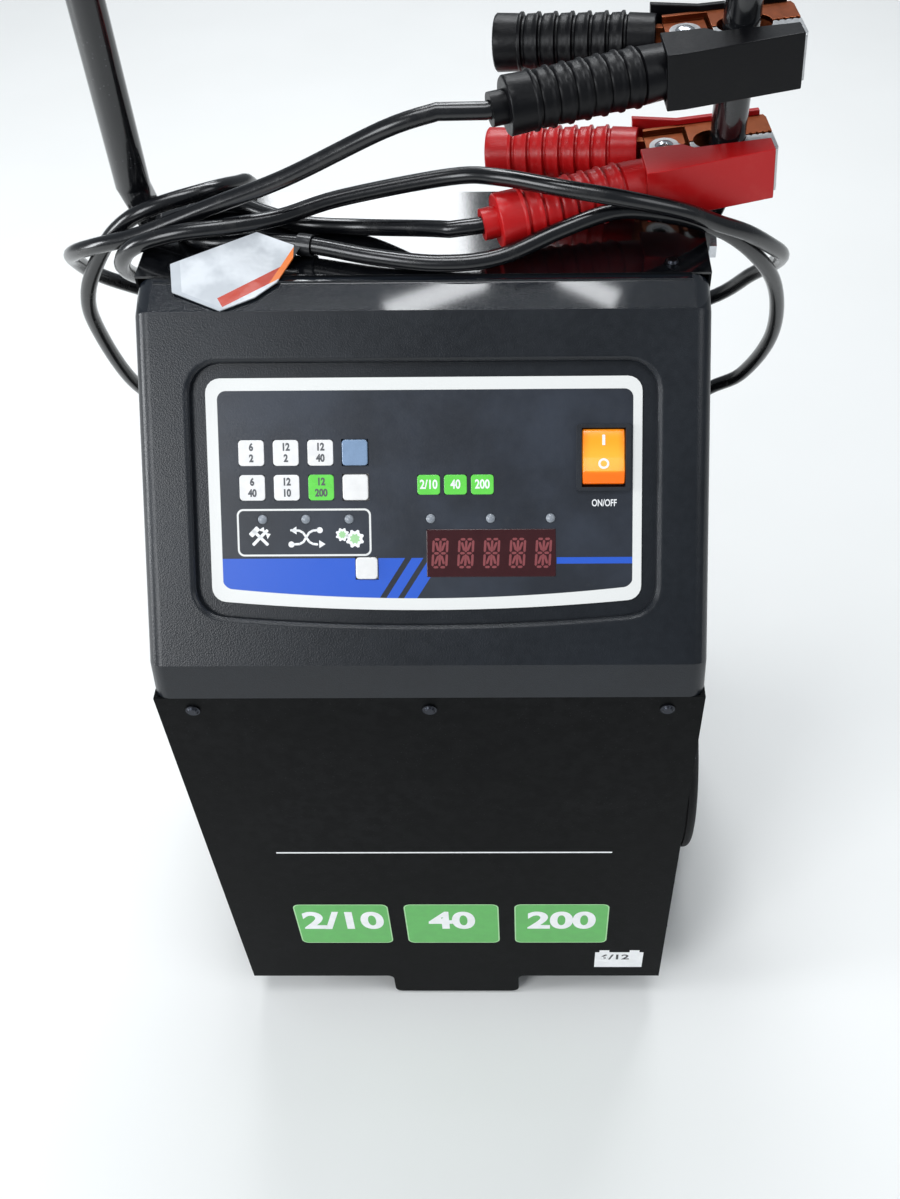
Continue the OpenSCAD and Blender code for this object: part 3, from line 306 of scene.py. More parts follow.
@dataclass(frozen=True)
class Coating:
    """Baked coating on sheet metal, with a fine orange peel, dust and rubbed places."""

    colour: str
    roughness: float = 0.34
    peel: float = 0.00004
    dust: float = 0.25
    coat: float = 0.0
    dusty: str = "8d8f94"
    shine: float = 0.5

    def build(self, name: str) -> Material:
        """Makes the material.

        Args:
            name: The material's name.

        Returns:
            The material.
        """
        s = Shader(name)
        at = s.place()
        broad = s.noise(at, 9, 4)
        fine = s.noise(at, 160, 3)
        peel = s.noise(at, 900, 2)
        specks = (s.cells(at, 420) < 0.13) * (s.noise(at, 30, 2) > 0.52)
        dust_and_sheen = broad.ramp(0.42, 0.75) * fine.ramp(0.35, 0.7) * self.dust
        base = tone(self.colour)
        worn = tuple(c * 1.35 + 0.004 for c in base)
        mixed = s.blend(fine.ramp(0.3, 0.7) * 0.5, base, worn)
        dusted = s.blend((dust_and_sheen * 0.16 + specks * self.dust * 0.5).upto(0.8), mixed,
                         tone(self.dusty))
        return s.end(Base_Color=dusted, Roughness=dust_and_sheen * 0.5 + fine * 0.06 + self.roughness - 0.03,
                     Normal=s.bump(peel, self.peel), Coat_Weight=self.coat,
                     Coat_Roughness=0.08, Specular_IOR_Level=self.shine)


@dataclass(frozen=True)
class Moulding:
    """Moulded plastic with a spark-eroded grain and a painted blue-grey sheen in patches, polished
    above a height in metres.
    """

    colour: str
    roughness: float = 0.42
    grain: float = 0.00005
    grain_scale: float = 1400.0
    # The sheen colour is a painted sheen; the field after it sets how much of it is blended in.
    sheen: str = "5a6472"
    dust_and_sheen: float = 0.12
    polished_from: float = 9.0

    def build(self, name: str) -> Material:
        """Makes the material.

        Args:
            name: The material's name.

        Returns:
            The material.
        """
        s = Shader(name)
        at = s.place()
        broad = s.noise(at, 14, 4)
        fine = s.noise(at, 240, 3)
        pits = s.cells(at, self.grain_scale)
        polished = s.axes(at)[2] > self.polished_from
        # Painted sheen: in broad patches the base colour turns towards the blue-grey sheen colour.
        mixed = s.blend(broad.ramp(0.35, 0.8) * self.dust_and_sheen + fine * 0.05, tone(self.colour),
                        tone(self.sheen))
        return s.end(Base_Color=mixed, Normal=s.bump(pits, self.grain),
                     Roughness=(fine * 0.1 + broad * 0.1 + self.roughness - 0.1)
                     * (1 - polished * 0.6),
                     Coat_Weight=polished, Coat_Roughness=0.05)


@dataclass(frozen=True)
class Metal:
    """Bare or plated metal with drawn streaks and stains."""

    colour: str
    roughness: float = 0.3
    streak: Point = (1, 1, 12)
    stain: str = "6b6257"
    stained: float = 0.2
    depth: float = 0.00003

    def build(self, name: str) -> Material:
        """Makes the material.

        Args:
            name: The material's name.

        Returns:
            The material.
        """
        s = Shader(name)
        at = s.place()
        x, y, z = s.axes(at)
        drawn = s.vector(x * self.streak[0], y * self.streak[1], z * self.streak[2])
        lines = s.noise(drawn, 320, 4, 0.7)
        spots = s.noise(at, 45, 5, 0.65).ramp(0.55, 0.8)
        mixed = s.blend(spots * self.stained, tone(self.colour), tone(self.stain))
        return s.end(Base_Color=mixed, Metallic=1 - spots * self.stained * 0.6,
                     Roughness=lines * 0.22 + spots * 0.25 + self.roughness - 0.1,
                     Normal=s.bump(lines, self.depth))


@dataclass(frozen=True)
class Rubber:
    """Rubber or soft vinyl with scuffs and bloom."""

    colour: str
    roughness: float = 0.7
    bloom: str = "77736c"
    bloomed: float = 0.18
    depth: float = 0.00008
    skin_scale: float = 500.0
    coat: float = 0.0
    shine: float = 0.5

    def build(self, name: str) -> Material:
        """Makes the material.

        Args:
            name: The material's name.

        Returns:
            The material.
        """
        s = Shader(name)
        at = s.place()
        scuffs = s.noise(at, 60, 6, 0.7).ramp(0.5, 0.78)
        skin = s.noise(at, self.skin_scale, 3)
        mixed = s.blend(scuffs * self.bloomed, tone(self.colour), tone(self.bloom))
        return s.end(Base_Color=mixed, Normal=s.bump(skin, self.depth),
                     Roughness=(scuffs * 0.15 + skin * 0.12 + self.roughness - 0.08).upto(1),
                     Coat_Weight=self.coat, Coat_Roughness=0.2,
                     Specular_IOR_Level=self.shine)


@dataclass(frozen=True)
class Lens:
    """Clear or lit plastic with a faint mould grain."""

    colour: str
    # Emission: the light of a lit part, and a painted glow on parts that hold no lamp.
    glow: float = 0.0
    roughness: float = 0.22

    def build(self, name: str) -> Material:
        """Makes the material.

        Args:
            name: The material's name.

        Returns:
            The material.
        """
        s = Shader(name)
        at = s.place()
        cloud = s.noise(at, 180, 3)
        base = tone(self.colour)
        deep = tuple(c * 0.92 for c in base)
        mixed = s.blend(cloud.ramp(0.3, 0.7), deep, base)
        return s.end(Base_Color=mixed, Roughness=cloud * 0.12 + self.roughness,
                     Normal=s.bump(s.noise(at, 1500, 2), 0.00001), Emission_Color=mixed,
                     Emission_Strength=self.glow, Coat_Weight=0.4)


@dataclass(frozen=True)
class Layers:
    """Stacked sheets or turns of wire: stripes along one axis."""

    colour: str
    between: str
    pitch: float
    axis: int = 0
    roughness: float = 0.45

    def build(self, name: str) -> Material:
        """Makes the material.

        Args:
            name: The material's name.

        Returns:
            The material.
        """
        s = Shader(name)
        at = s.place()
        along = s.axes(at)[self.axis]
        wave = abs((along / self.pitch) % 1 - 0.5) * 2
        shade = s.noise(at, 70, 4)
        mixed = s.blend(wave.ramp(0.6, 0.95) * 0.8 + shade * 0.15, tone(self.colour),
                        tone(self.between))
        return s.end(Base_Color=mixed, Metallic=1.0,
                     Roughness=shade * 0.2 + self.roughness - 0.1,
                     Normal=s.bump(1 - wave, self.pitch * 0.3))


@dataclass(frozen=True)
class PrintedFace:
    """Laminated label with its printed border, blue band and the outline round the lamps."""

    ground: str = "23272f"
    pale: str = "4a5261"
    border: str = "f2f2ef"
    band: str = "2b5fd0"
    grime: str = "7d7a74"
    middle: Flat = (0.6, 81.9)
    size: Flat = (197.2, 99.4)
    corner: float = 4.2
    bow: float = 5.3
    half_width: float = 98.0
    band_rows: Flat = (48.7, 51.8)
    band_ends: Flat = (40.0, 62.9)
    lamps_at: Flat = (-58.2, 64.3)
    lamps_size: Flat = (62.6, 21.0)
    lamps_corner: float = 2.4
    line: float = 0.9
    print_edge: float = 0.12

    def build(self, name: str) -> Material:
        """Makes the material.

        Args:
            name: The material's name.

        Returns:
            The material.
        """
        s = Shader(name)
        at = s.place()
        place = s.place((0, LIP_TOP[0] * MM, LIP_TOP[1] * MM), (90 - FACE_TILT, 0, 0), MM)
        u, v, _ = s.axes(place)

        def inside(middle: Flat, size: Flat, r: float, up: Sock = v) -> Sock:
            """Mask of a rounded rectangle round a middle."""
            qx = abs(u - middle[0]) - (size[0] / 2 - r)
            qy = abs(up - middle[1]) - (size[1] / 2 - r)
            ax, ay = qx.atleast(0), qy.atleast(0)
            far = s.maths("SQRT", ax * ax + ay * ay) + qx.atleast(qy).upto(0) - r
            return 1 - far.ramp(-self.print_edge, self.print_edge)

        below, top = self.band_rows
        raised = v - u * u / self.half_width ** 2 * self.bow * (50 - v).ramp(0, 12)
        inner = inside(self.middle, self.size, self.corner, raised)
        shade = s.noise(at, 26, 4)
        base = s.blend(shade.ramp(0.3, 0.8) * 0.35, tone(self.ground), tone(self.pale))
        sway = u - (v - 40) * 0.65
        stripes = (sway > -17.6) * (sway < -14.4) + (sway > -8.8) * (sway < -5.8)
        reach = (sway < 0.6) * (v < top) * (u < self.band_ends[0])
        base = s.blend(reach * (1 - stripes) * inner, base, tone(self.band))
        thin = (v > below) * (v < top) * (u > self.band_ends[1])
        base = s.blend(thin * inner, base, tone(self.band))
        w, h = self.lamps_size
        fill = inside(self.lamps_at, (w, h), self.lamps_corner)
        outline = inside(self.lamps_at, (w + 2 * self.line, h + 2 * self.line),
                         self.lamps_corner + 0.8) - fill
        base = s.blend(outline.atleast(0), base, tone(self.border))
        base = s.blend(fill * reach, base, tone(self.ground))
        printed = s.blend(inner, tone(self.border), base)
        dirt = s.noise(at, 120, 5, 0.7).ramp(0.6, 0.9) * 0.12
        printed = s.blend(dirt, printed, tone(self.grime))
        return s.end(Base_Color=printed, Roughness=s.noise(at, 300, 3) * 0.14 + 0.27,
                     Normal=s.bump(s.noise(at, 1100, 2), 0.00003), Coat_Weight=0.25,
                     Coat_Roughness=0.15)


class Ink(Enum):
    """Printing inks of the face and the panel; the white and green ones carry a faint painted
    glow.
    """

    # The second number is a painted glow that brightens the print beyond what the lamps give.
    WHITE = Lens("f4f5f6", 0.12, 0.4)
    GREY = Lens("5a5c60", roughness=0.5)
    GREEN = Lens("57b553", 0.1, 0.4)
    PALE_GREEN = Lens("a9dba0", 0.1, 0.4)
    DARK = Lens("24262b", roughness=0.5)

    def build(self) -> Material:
        """Makes the ink's material."""
        return self.value.build(f"{self.name.lower().replace('_', ' ')} ink")


# ------------------------------------------------------------- modelling bench


def alone(*objects: Object) -> None:
    """Selects these objects and nothing else.

    Args:
        objects: The objects, the active one first.
    """
    bpy.ops.object.select_all(action="DESELECT")
    for one in objects:
        one.select_set(True)
    bpy.context.view_layer.objects.active = objects[0]


def finished(piece: Object, name: str, matrix: Optional[Matrix] = None) -> Object:
    """Names a piece and puts its place into its mesh.

    Args:
        piece: The piece.
        name: Its name.
        matrix: A further move of the mesh.

    Returns:
        The piece.
    """
    alone(piece)
    bpy.ops.object.transform_apply(location=True, rotation=True, scale=True)
    if matrix is not None:
        piece.data.transform(matrix)
    piece.name = piece.data.name = name
    return piece


def edit(piece: Object, choose: Optional[Callable[[Any], bool]] = None,
         kind: str = "FACE") -> None:
    """Opens a piece in edit mode with the chosen faces or edges selected.

    Args:
        piece: The piece.
        choose: Says of a face or edge whether it is taken, or None for all.
        kind: FACE or EDGE.
    """
    alone(piece)
    bpy.ops.object.mode_set(mode="EDIT")
    bpy.ops.mesh.select_mode(type=kind)
    bpy.ops.mesh.select_all(action="SELECT" if choose is None else "DESELECT")
    if choose is not None:
        mesh = bmesh.from_edit_mesh(piece.data)
        for one in (mesh.faces if kind == "FACE" else mesh.edges):
            if choose(one):
                one.select_set(True)
        mesh.select_flush_mode()
        bmesh.update_edit_mesh(piece.data)


def close() -> None:
    """Leaves edit mode."""
    bpy.ops.object.mode_set(mode="OBJECT")


def modify(piece: Object, kind: str, **settings: Any) -> Object:
    """Adds a modifier and applies it.

    Args:
        piece: The piece.
        kind: The modifier's type.
        settings: Its settings.

    Returns:
        The piece.
    """
    alone(piece)
    made = piece.modifiers.new(kind.title(), kind)
    for key, value in settings.items():
        setattr(made, key, value)
    bpy.ops.object.modifier_apply(modifier=made.name)
    return piece


def soften(piece: Object, width: float, segments: int = 2, angle: float = 30) -> Object:
    """Bevels the sharp edges and shades the piece smooth.

    Args:
        piece: The piece.
        width: Width of the bevel, in metres.
        segments: Its steps.
        angle: The least angle that is bevelled, in degrees.

    Returns:
        The piece.
    """
    modify(piece, "BEVEL", width=width, segments=segments, limit_method="ANGLE",
           angle_limit=math.radians(angle), harden_normals=False)
    return level(piece, angle)


def level(piece: Object, angle: float) -> Object:
    """Shades smooth under an angle and keeps the wide faces flat."""
    smooth(piece, angle)
    return modify(piece, "WEIGHTED_NORMAL", mode="FACE_AREA", weight=50, keep_sharp=True)


def smooth(piece: Object, angle: float = 30) -> Object:
    """Shades smooth where neighbouring faces turn by less than an angle."""
    alone(piece)
    bpy.ops.object.shade_smooth_by_angle(angle=math.radians(angle))
    return piece


def copy_of(node: str, name: str) -> Object:
    """A copy of a CAD node with its triangles joined into one skin.

    Args:
        node: The CAD node.
        name: The copy's name.

    Returns:
        The copy.
    """
    source = frame["nodes"][node]
    mesh = source.data.copy()
    mesh.materials.clear()
    mesh.name = name
    piece = bpy.data.objects.new(name, mesh)
    bpy.context.scene.collection.objects.link(piece)
    edit(piece)
    bpy.ops.mesh.remove_doubles(threshold=0.000004)
    bpy.ops.mesh.dissolve_limited(angle_limit=math.radians(0.6))
    close()
    if "custom_normal" in mesh.attributes:
        mesh.attributes.remove(mesh.attributes["custom_normal"])
    return piece


def solid(outline: Sequence[Flat], low: float, high: float, name: str) -> Object:
    """Extrudes an outline from a filled circle.

    Args:
        outline: Corners in order, in metres.
        low: Where it starts along Z.
        high: Where it ends along Z.
        name: The piece's name.

    Returns:
        The piece.
    """
    bpy.ops.object.select_all(action="DESELECT")
    bpy.ops.mesh.primitive_circle_add(vertices=len(outline), fill_type="NGON")
    piece = bpy.context.active_object
    for corner, place in zip(piece.data.vertices, outline):
        corner.co = (*place, low)
    edit(piece)
    bpy.ops.mesh.extrude_region_move(
        TRANSFORM_OT_translate={"value": (0, 0, high - low)})
    bpy.ops.mesh.select_all(action="SELECT")
    bpy.ops.mesh.normals_make_consistent(inside=False)
    close()
    piece.name = piece.data.name = name
    return piece


def turned(profile: Sequence[Flat], name: str, steps: int = 32) -> Object:
    """Spins a closed profile round Z.

    Args:
        profile: Points (radius, height) in order, in metres.
        name: The piece's name.
        steps: Steps round.

    Returns:
        The piece.
    """
    bpy.ops.object.select_all(action="DESELECT")
    bpy.ops.mesh.primitive_circle_add(vertices=len(profile), fill_type="NOTHING")
    piece = bpy.context.active_object
    for corner, (r, z) in zip(piece.data.vertices, profile):
        corner.co = (r, 0, z)
    edit(piece)
    bpy.ops.mesh.spin(steps=steps, angle=math.tau, center=(0, 0, 0), axis=(0, 0, 1))
    bpy.ops.mesh.select_all(action="SELECT")
    bpy.ops.mesh.remove_doubles(threshold=0.000005)
    bpy.ops.mesh.delete_loose()
    bpy.ops.mesh.select_all(action="SELECT")
    bpy.ops.mesh.normals_make_consistent(inside=False)
    close()
    piece.name = piece.data.name = name
    return piece


def joined(pieces: Sequence[Object], name: str) -> Object:
    """Joins pieces into one.

    Args:
        pieces: The pieces.
        name: The name of the whole.

    Returns:
        The whole.
    """
    alone(*pieces)
    bpy.ops.object.join()
    whole = bpy.context.active_object
    whole.name = whole.data.name = name
    return whole


def dress(piece: Object, material: Material) -> None:
    """Gives a piece or CAD node one material.

    Args:
        piece: The piece.
        material: The material.
    """
    if piece.type == "MESH" and piece.data.materials:
        for i in range(len(piece.data.materials)):
            piece.data.materials[i] = material
    else:
        piece.data.materials.append(material)


def seat(piece: Object, body: str, slot: str, material: Material,
         stands_for: Iterable[str] = ()) -> Object:
    """Dresses a piece and fixes it to its body.

    Args:
        piece: The piece.
        body: The CAD body that it rides on.
        slot: Name of a material slot; not used.
        material: Its material.
        stands_for: CAD nodes that it replaces.

    Returns:
        The piece.
    """
    dress(piece, material)
    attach(piece, body)
    names = list(stands_for)
    if names:
        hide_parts(*names)
    LOG.info("%s on %s, %d faces", piece.name, body,
             len(piece.data.polygons) if piece.type == "MESH" else 0)
    return piece


FACE_FRAME = (Matrix.Translation((0, LIP_TOP[0] * MM, LIP_TOP[1] * MM))
              @ Euler((math.radians(90 - FACE_TILT), 0, 0)).to_matrix().to_4x4())


@dataclass(frozen=True)
class Sheet:
    """A flat place for prints and small plates: u across, v up, and n out of it."""

    frame: Matrix

    def plate(self, outline: Sequence[Flat], low: float, high: float, name: str,
              edge: float = 0.0) -> Object:
        """A small plate.

        Args:
            outline: Its corners, in millimetres.
            low: Where it starts along n.
            high: Where it ends.
            name: Its name.
            edge: Width of its softened edges.

        Returns:
            The plate.
        """
        piece = solid([(x * MM, y * MM) for x, y in outline], low * MM, high * MM, name)
        if edge:
            soften(piece, edge * MM, 3, 50)
        return finished(piece, name, self.frame)

    def lettering(self, words: str, at: Flat, size: float, rise: float, name: str,
                  weight: float = 0.012, narrow: float = 1.0) -> Object:
        """Plain figures that stand a hair proud of the sheet.

        Args:
            words: The figures.
            at: Their middle.
            size: Height of the letters, in millimetres.
            rise: Their place along n.
            name: The piece's name.
            weight: How much bolder the strokes are, in millimetres.
            narrow: Their width against the plain one.

        Returns:
            The figures as a mesh.
        """
        bpy.ops.object.select_all(action="DESELECT")
        bpy.ops.object.text_add()
        text = bpy.context.active_object
        text.data.body = words
        text.data.size = size * 1.38 * MM
        text.data.align_x, text.data.align_y = "CENTER", "CENTER"
        text.data.extrude = 0.03 * MM
        text.data.offset = weight * MM
        text.data.space_line = 1.1
        alone(text)
        bpy.ops.object.convert(target="MESH")
        piece = bpy.context.active_object
        move = Matrix.Translation((at[0] * MM, at[1] * MM, rise * MM)) @ Matrix.Diagonal(
            (narrow, 1, 1, 1))
        return finished(piece, name, self.frame @ move)


FACE = Sheet(FACE_FRAME)
FRONT = Sheet(Matrix.Translation((0, FRONT_Y * MM, 0))
              @ Matrix.Rotation(math.radians(90), 4, "X"))


# ---------------------------------------------------------------------- camera


@dataclass
class Viewpoint:
    """Camera in front of the charger, above it and looking down."""

    place: Point = (0.0479, -0.4912, 0.8184)
    yaw: float = 0.020489
    pitch: float = 0.835089
    roll: float = -0.019697
    focal: float = 1250.0
    middle: Flat = (508.42, 600.0)
    frame_size: tuple[int, int] = (900, 1199)

    def build(self) -> None:
        """Makes the camera and gives it to the scene."""
        data = bpy.data.cameras.new("camera")
        camera = bpy.data.objects.new("camera", data)
        bpy.context.scene.collection.objects.link(camera)
        bpy.context.scene.camera = camera
        ahead = Vector((-math.sin(self.yaw) * math.cos(self.pitch),
                        math.cos(self.yaw) * math.cos(self.pitch), -math.sin(self.pitch)))
        right = Vector((math.cos(self.yaw), math.sin(self.yaw), 0))
        up = right.cross(ahead)
        c, s = math.cos(self.roll), math.sin(self.roll)
        across, upward = right * c + up * s, up * c - right * s
        turn = Matrix((across, upward, -ahead)).transposed().to_4x4()
        camera.matrix_world = Matrix.Translation(self.place) @ turn
        wide, high = self.frame_size
        data.sensor_width = 36
        data.lens = self.focal / high * 36
        data.shift_x = (wide / 2 - self.middle[0]) / high
        data.clip_start, data.clip_end = 0.02, 50


# ----------------------------------------------------------------------- leads


BLACK_ROUTE: tuple[Point, ...] = (
    (-45, 96, 280), (-45, 118, 280), (-45, 134, 279), (-58, 154, 267),
    (-94, 164, 254), (-144, 150, 280), (-172, 128, 317), (-185, 104, 356), (-187, 80, 411),
    (-181, 68, 443), (-163.5, 61, 473.5), (-147, 56, 491), (-130, 57, 499),
    (-106, 66.5, 501.5), (-96, 83, 495.5), (-93, 97, 488), (-92, 111, 468), (-95, 116, 432),
    (-109, 118, 408), (-129, 116, 407), (-147, 98, 428), (-152, 76, 446), (-153, 58, 461),
    (-150, 44, 476), (-139.5, 36, 489.5), (-118, 34, 497.5), (-92, 37, 499.5), (-68, 44, 500),
    (-40, 50, 506), (13, 51, 516), (37, 43, 520), (65, 33, 520), (92, 29, 517), (121, 33, 508),
    (139, 39, 498), (155, 45, 489), (170.5, 58, 473.5), (180, 71, 460), (180, 85, 446),
    (172, 99, 430), (150, 117, 401), (85, 134, 371), (0, 139, 360), (-85, 134, 376),
    (-146, 122, 400), (-181, 99, 431), (-187, 78, 456), (-178.5, 61, 471),
    (-161.5, 49.5, 482), (-138, 45, 490.5), (-100, 44, 506), (-62, 39, 523), (-14, 33, 549),
    (10, 35, 556))
RED_ROUTE: tuple[Point, ...] = (
    (45, 96, 280), (45, 118, 280), (45, 134, 278), (52, 152, 252), (58, 158, 195),
    (59, 158, 150), (77, 155, 119), (112, 151, 117), (131, 148, 147), (133, 147, 195),
    (131, 146, 242), (115, 144, 268), (86, 143, 268), (70, 142, 242), (69, 141, 195),
    (70, 140, 150), (86, 138, 122), (117, 134, 121), (135, 132, 150), (141, 129, 220),
    (144, 125, 280), (155, 119, 330), (177, 110, 354), (187, 93, 394), (181, 76, 436),
    (163.5, 58.5, 468.5), (140, 46.5, 491), (109, 38, 504), (89, 34, 507), (65, 27, 502),
    (36, 19, 493), (8, 18, 490.5), (-22, 23, 491), (-48, 31, 491.5), (-64, 35, 491.5),
    (-82, 37.5, 491), (-101, 37, 490.5), (-114.5, 44, 490.5), (-119, 57, 490.5),
    (-111.5, 69.5, 490.5), (-96, 73, 490.5), (-79, 63, 490.5), (-58, 53, 490.5),
    (-30, 50, 490.5), (2.4, 36.5, 497.7), (13, 32, 499.8))


@dataclass(frozen=True)
class Station:
    """Where a clamp hangs on the right-hand leg of the handle."""

    name: str
    reach: float
    lean: float
    height: float
    turn: float = 4.0
    leg: Flat = (145.5, 75.0)
    grip_drop: float = 12.5
    grip_spread: float = 12.8
    grip_start: float = 11.0
    grip_length: float = 75.0
    collar_length: float = 7.0

    def matrix(self) -> Matrix:
        """The clamp's frame: x to the jaw tips, y to the rear lever, z along the rivet."""
        a = math.radians(self.turn)
        pivot = (self.leg[0] - self.reach * math.cos(a), self.leg[1] - self.reach * math.sin(a),
                 self.height)
        return (Matrix.Translation(Vector(pivot) * MM) @ Matrix.Rotation(a, 4, "Z")
                @ Matrix.Rotation(math.radians(-self.lean), 4, "Y"))

    def collar_end(self, out: float) -> Vector:
        """A point on the grip's axis, this far outside its collar, in millimetres."""
        run = self.grip_start + self.grip_length + self.collar_length + out
        spread = math.radians(self.grip_spread)
        local = Vector((-run * math.cos(spread), -self.grip_drop - run * math.sin(spread), 0))
        return (self.matrix() @ (local * MM)) / MM


BLACK_STATION = Station("black", 24.5, 4, 563.5)
RED_STATION = Station("red", 29.5, 5, 509)


@dataclass
class Lead:
    """One output lead, from its gland to its clamp."""

    name: str
    route: tuple[Point, ...]
    station: Station
    finish: Rubber
    length: float
    radius: float = 4.0
    step: float = 5.0

    def line(self) -> list[Vector]:
        """The centre line, in metres, as close points on one smooth curve."""
        ends = [self.station.collar_end(2), self.station.collar_end(-4)]
        knots = [Vector(p) for p in self.route]
        made: list[Vector] = []
        for i in range(len(knots) - 1):
            a, b, c, d = (knots[max(i - 1, 0)], knots[i], knots[i + 1],
                          knots[min(i + 2, len(knots) - 1)])
            steps = max(1, math.ceil((c - b).length / self.step))
            for k in range(steps):
                t = k / steps
                made.append(0.5 * (2 * b + t * (c - a) + t * t * (2 * a - 5 * b + 4 * c - d)
                                   + t ** 3 * (3 * b - a - 3 * c + d)))
        return [p * MM for p in [*made, knots[-1], *ends]]

    def build(self, with_pieces: Sequence[Object]) -> Object:
        """Args:
            with_pieces: The pieces on it; not used.

        Returns:
            The lead.
        """
        data = bpy.data.curves.new(f"lead.{self.name}", "CURVE")
        data.dimensions = "3D"
        spline = data.splines.new("POLY")
        points = self.line()
        spline.points.add(len(points) - 1)
        for knot, place in zip(spline.points, points):
            knot.co = (*place, 1)
        data.bevel_depth = self.radius * MM
        data.bevel_resolution = 5
        data.use_fill_caps = True
        piece = bpy.data.objects.new(f"lead.{self.name}", data)
        bpy.context.scene.collection.objects.link(piece)
        seat(piece, "charger", "rubber", self.finish.build(f"lead {self.name}"),
             [f"lead_{self.name}"])
        run = sum((b - a).length for a, b in zip(points, points[1:]))
        LOG.info("lead %s is %.3f m", self.name, run)
        tuple(points[0])
        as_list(with_pieces)
        return piece


# ---------------------------------------------------------------------- studio


@dataclass
class Studio:
    """Plain pale floor and soft lamps, each with its place, size and power."""

    floor_colour: str = "f2f2f0"
    floor_shade: str = "e6e6e3"
    light: Colour = (0.95, 0.975, 1)
    sky: Colour = (0.84, 0.92, 1)
    sky_power: float = 0.28
    aim: Point = (0, 0, 0.4)
    lamps: tuple[tuple[str, Point, Flat, float], ...] = (
        ("key", (-1.15, -1.5, 1.45), (0.9, 0.9), 19),
        ("fill", (1.6, -0.9, 2.0), (1.0, 1.0), 8),
        ("top", (-0.3, -0.35, 2.9), (1.3, 0.6), 21),
        ("back", (0.1, 1.25, 2.2), (1.4, 0.4), 27),
        ("left window", (-2.0, -0.3, 0.75), (0.5, 0.9), 18),
        ("rear window", (-0.34, 2.3, 1.86), (0.5, 0.42), 6),
        ("left pane", (-0.145, 0.43, 2.65), (0.23, 0.045), 0.5),
        ("right pane", (0.19, 0.445, 2.65), (0.14, 0.04), 0.26))

    def build(self) -> None:
        """Makes the floor, the lamps and the world."""
        bpy.ops.object.select_all(action="DESELECT")
        bpy.ops.mesh.primitive_plane_add(size=14, location=(0, 0, 0))
        floor = finished(bpy.context.active_object, "floor")
        shader = Shader("studio floor")
        at = shader.place()
        mixed = shader.blend(shader.noise(at, 3, 3).ramp(0.3, 0.7) * 0.25,
                             tone(self.floor_colour), tone(self.floor_shade))
        dress(floor, shader.end(Base_Color=mixed, Roughness=0.8))
        for name, place, size, power in self.lamps:
            self.lamp(name, place, size, power)
        world = bpy.data.worlds.new("studio")
        world.use_nodes = True
        background = world.node_tree.nodes["Background"]
        background.inputs["Color"].default_value = (*self.sky, 1)
        background.inputs["Strength"].default_value = self.sky_power
        bpy.context.scene.world = world
        bpy.context.scene.view_settings.view_transform = "Standard"

    def lamp(self, name: str, place: Point, size: Flat, power: float) -> None:
        """Adds a lamp that faces the charger.

        Args:
            name: The lamp's name.
            place: Where it hangs.
            size: Its width and height, in metres.
            power: Its power, in watts.
        """
        data = bpy.data.lights.new(name, "AREA")
        data.shape, data.energy, data.color = "RECTANGLE", power, self.light
        data.size, data.size_y = size
        lamp = bpy.data.objects.new(name, data)
        bpy.context.scene.collection.objects.link(lamp)
        lamp.location = place
        aim = Vector(self.aim) - Vector(place)
        lamp.rotation_euler = aim.to_track_quat("-Z", "Y").to_euler()


# ------------------------------------------------------------- sheet-metal case


@dataclass
class Case:
    """Folded steel case and its plastic head."""

    steel: Coating = Coating("090a0b", 0.52, dust=0.08, shine=0.06)
    gloss: Coating = Coating("07080b", 0.1, peel=0.00001, coat=0.6, dust=0.1)
    plastic: Moulding = Moulding("0a0e14", 0.33, dust_and_sheen=0.04, polished_from=0.4778)
    steel_edge: float = 0.35
    cover_edge: float = 0.4
    head_edge: float = 0.7
    rim_edge: float = 3.0

    def build(self) -> None:
        """Makes the case's skins."""
        steel = self.steel.build("black satin steel")
        gloss = self.gloss.build("black gloss steel")
        for node in ("front_panel", "side_panel_left", "side_panel_right", "rear_panel",
                     "floor_pan", "front_foot"):
            piece = soften(copy_of(node, f"{node}.skin"), self.steel_edge * MM)
            seat(piece, "charger", "case_steel", steel, [node])
        cover = soften(copy_of("top_cover", "top_cover.skin"), self.cover_edge * MM)
        seat(cover, "charger", "cover_gloss", gloss, ["top_cover"])
        self.head()

    def head(self) -> None:
        """Rounds the rim of the head's recess and its outer edges."""
        piece = copy_of("control_head", "control_head.skin")
        inverse = FACE_FRAME.inverted()

        def on_rim(edge: Any) -> bool:
            """Says whether an edge runs along the recess's upper rim."""
            ends = [inverse @ end.co / MM for end in edge.verts]
            return all(abs(p.z) < 0.05 and abs(p.x) < 120 and 10 < p.y < 150 for p in ends)

        edit(piece, on_rim, "EDGE")
        bpy.ops.mesh.bevel(offset=self.rim_edge * MM, segments=4, affect="EDGES")
        close()
        soften(piece, self.head_edge * MM, 3, 22)
        seat(piece, "charger", "head_plastic", self.plastic.build("charcoal plastic"),
             ["control_head"])


# ------------------------------------------------------------------ front face


def rounded(w: float, h: float, r: float, steps: int = 5, at: Flat = (0, 0)) -> list[Flat]:
    """Corners of a rounded rectangle.

    Args:
        w: Width.
        h: Height.
        r: Corner radius.
        steps: Steps round each corner.
        at: Its middle.

    Returns:
        The corners, anticlockwise.
    """
    made = []
    for k, (sx, sy) in enumerate(((1, 1), (-1, 1), (-1, -1), (1, -1))):
        cx, cy = at[0] + sx * (w / 2 - r), at[1] + sy * (h / 2 - r)
        for i in range(steps + 1):
            a = math.radians(90 * k + 90 * i / steps)
            made.append((cx + r * math.cos(a), cy + r * math.sin(a)))
    return made


def moved(outline: Iterable[Flat], at: Flat, turn: float = 0) -> list[Flat]:
    """Turns an outline about its origin and moves it.

    Args:
        outline: Its corners.
        at: Where its origin goes.
        turn: Its turn, in degrees.

    Returns:
        The corners.
    """
    c, s = math.cos(math.radians(turn)), math.sin(math.radians(turn))
    return [(at[0] + x * c - y * s, at[1] + x * s + y * c) for x, y in outline]


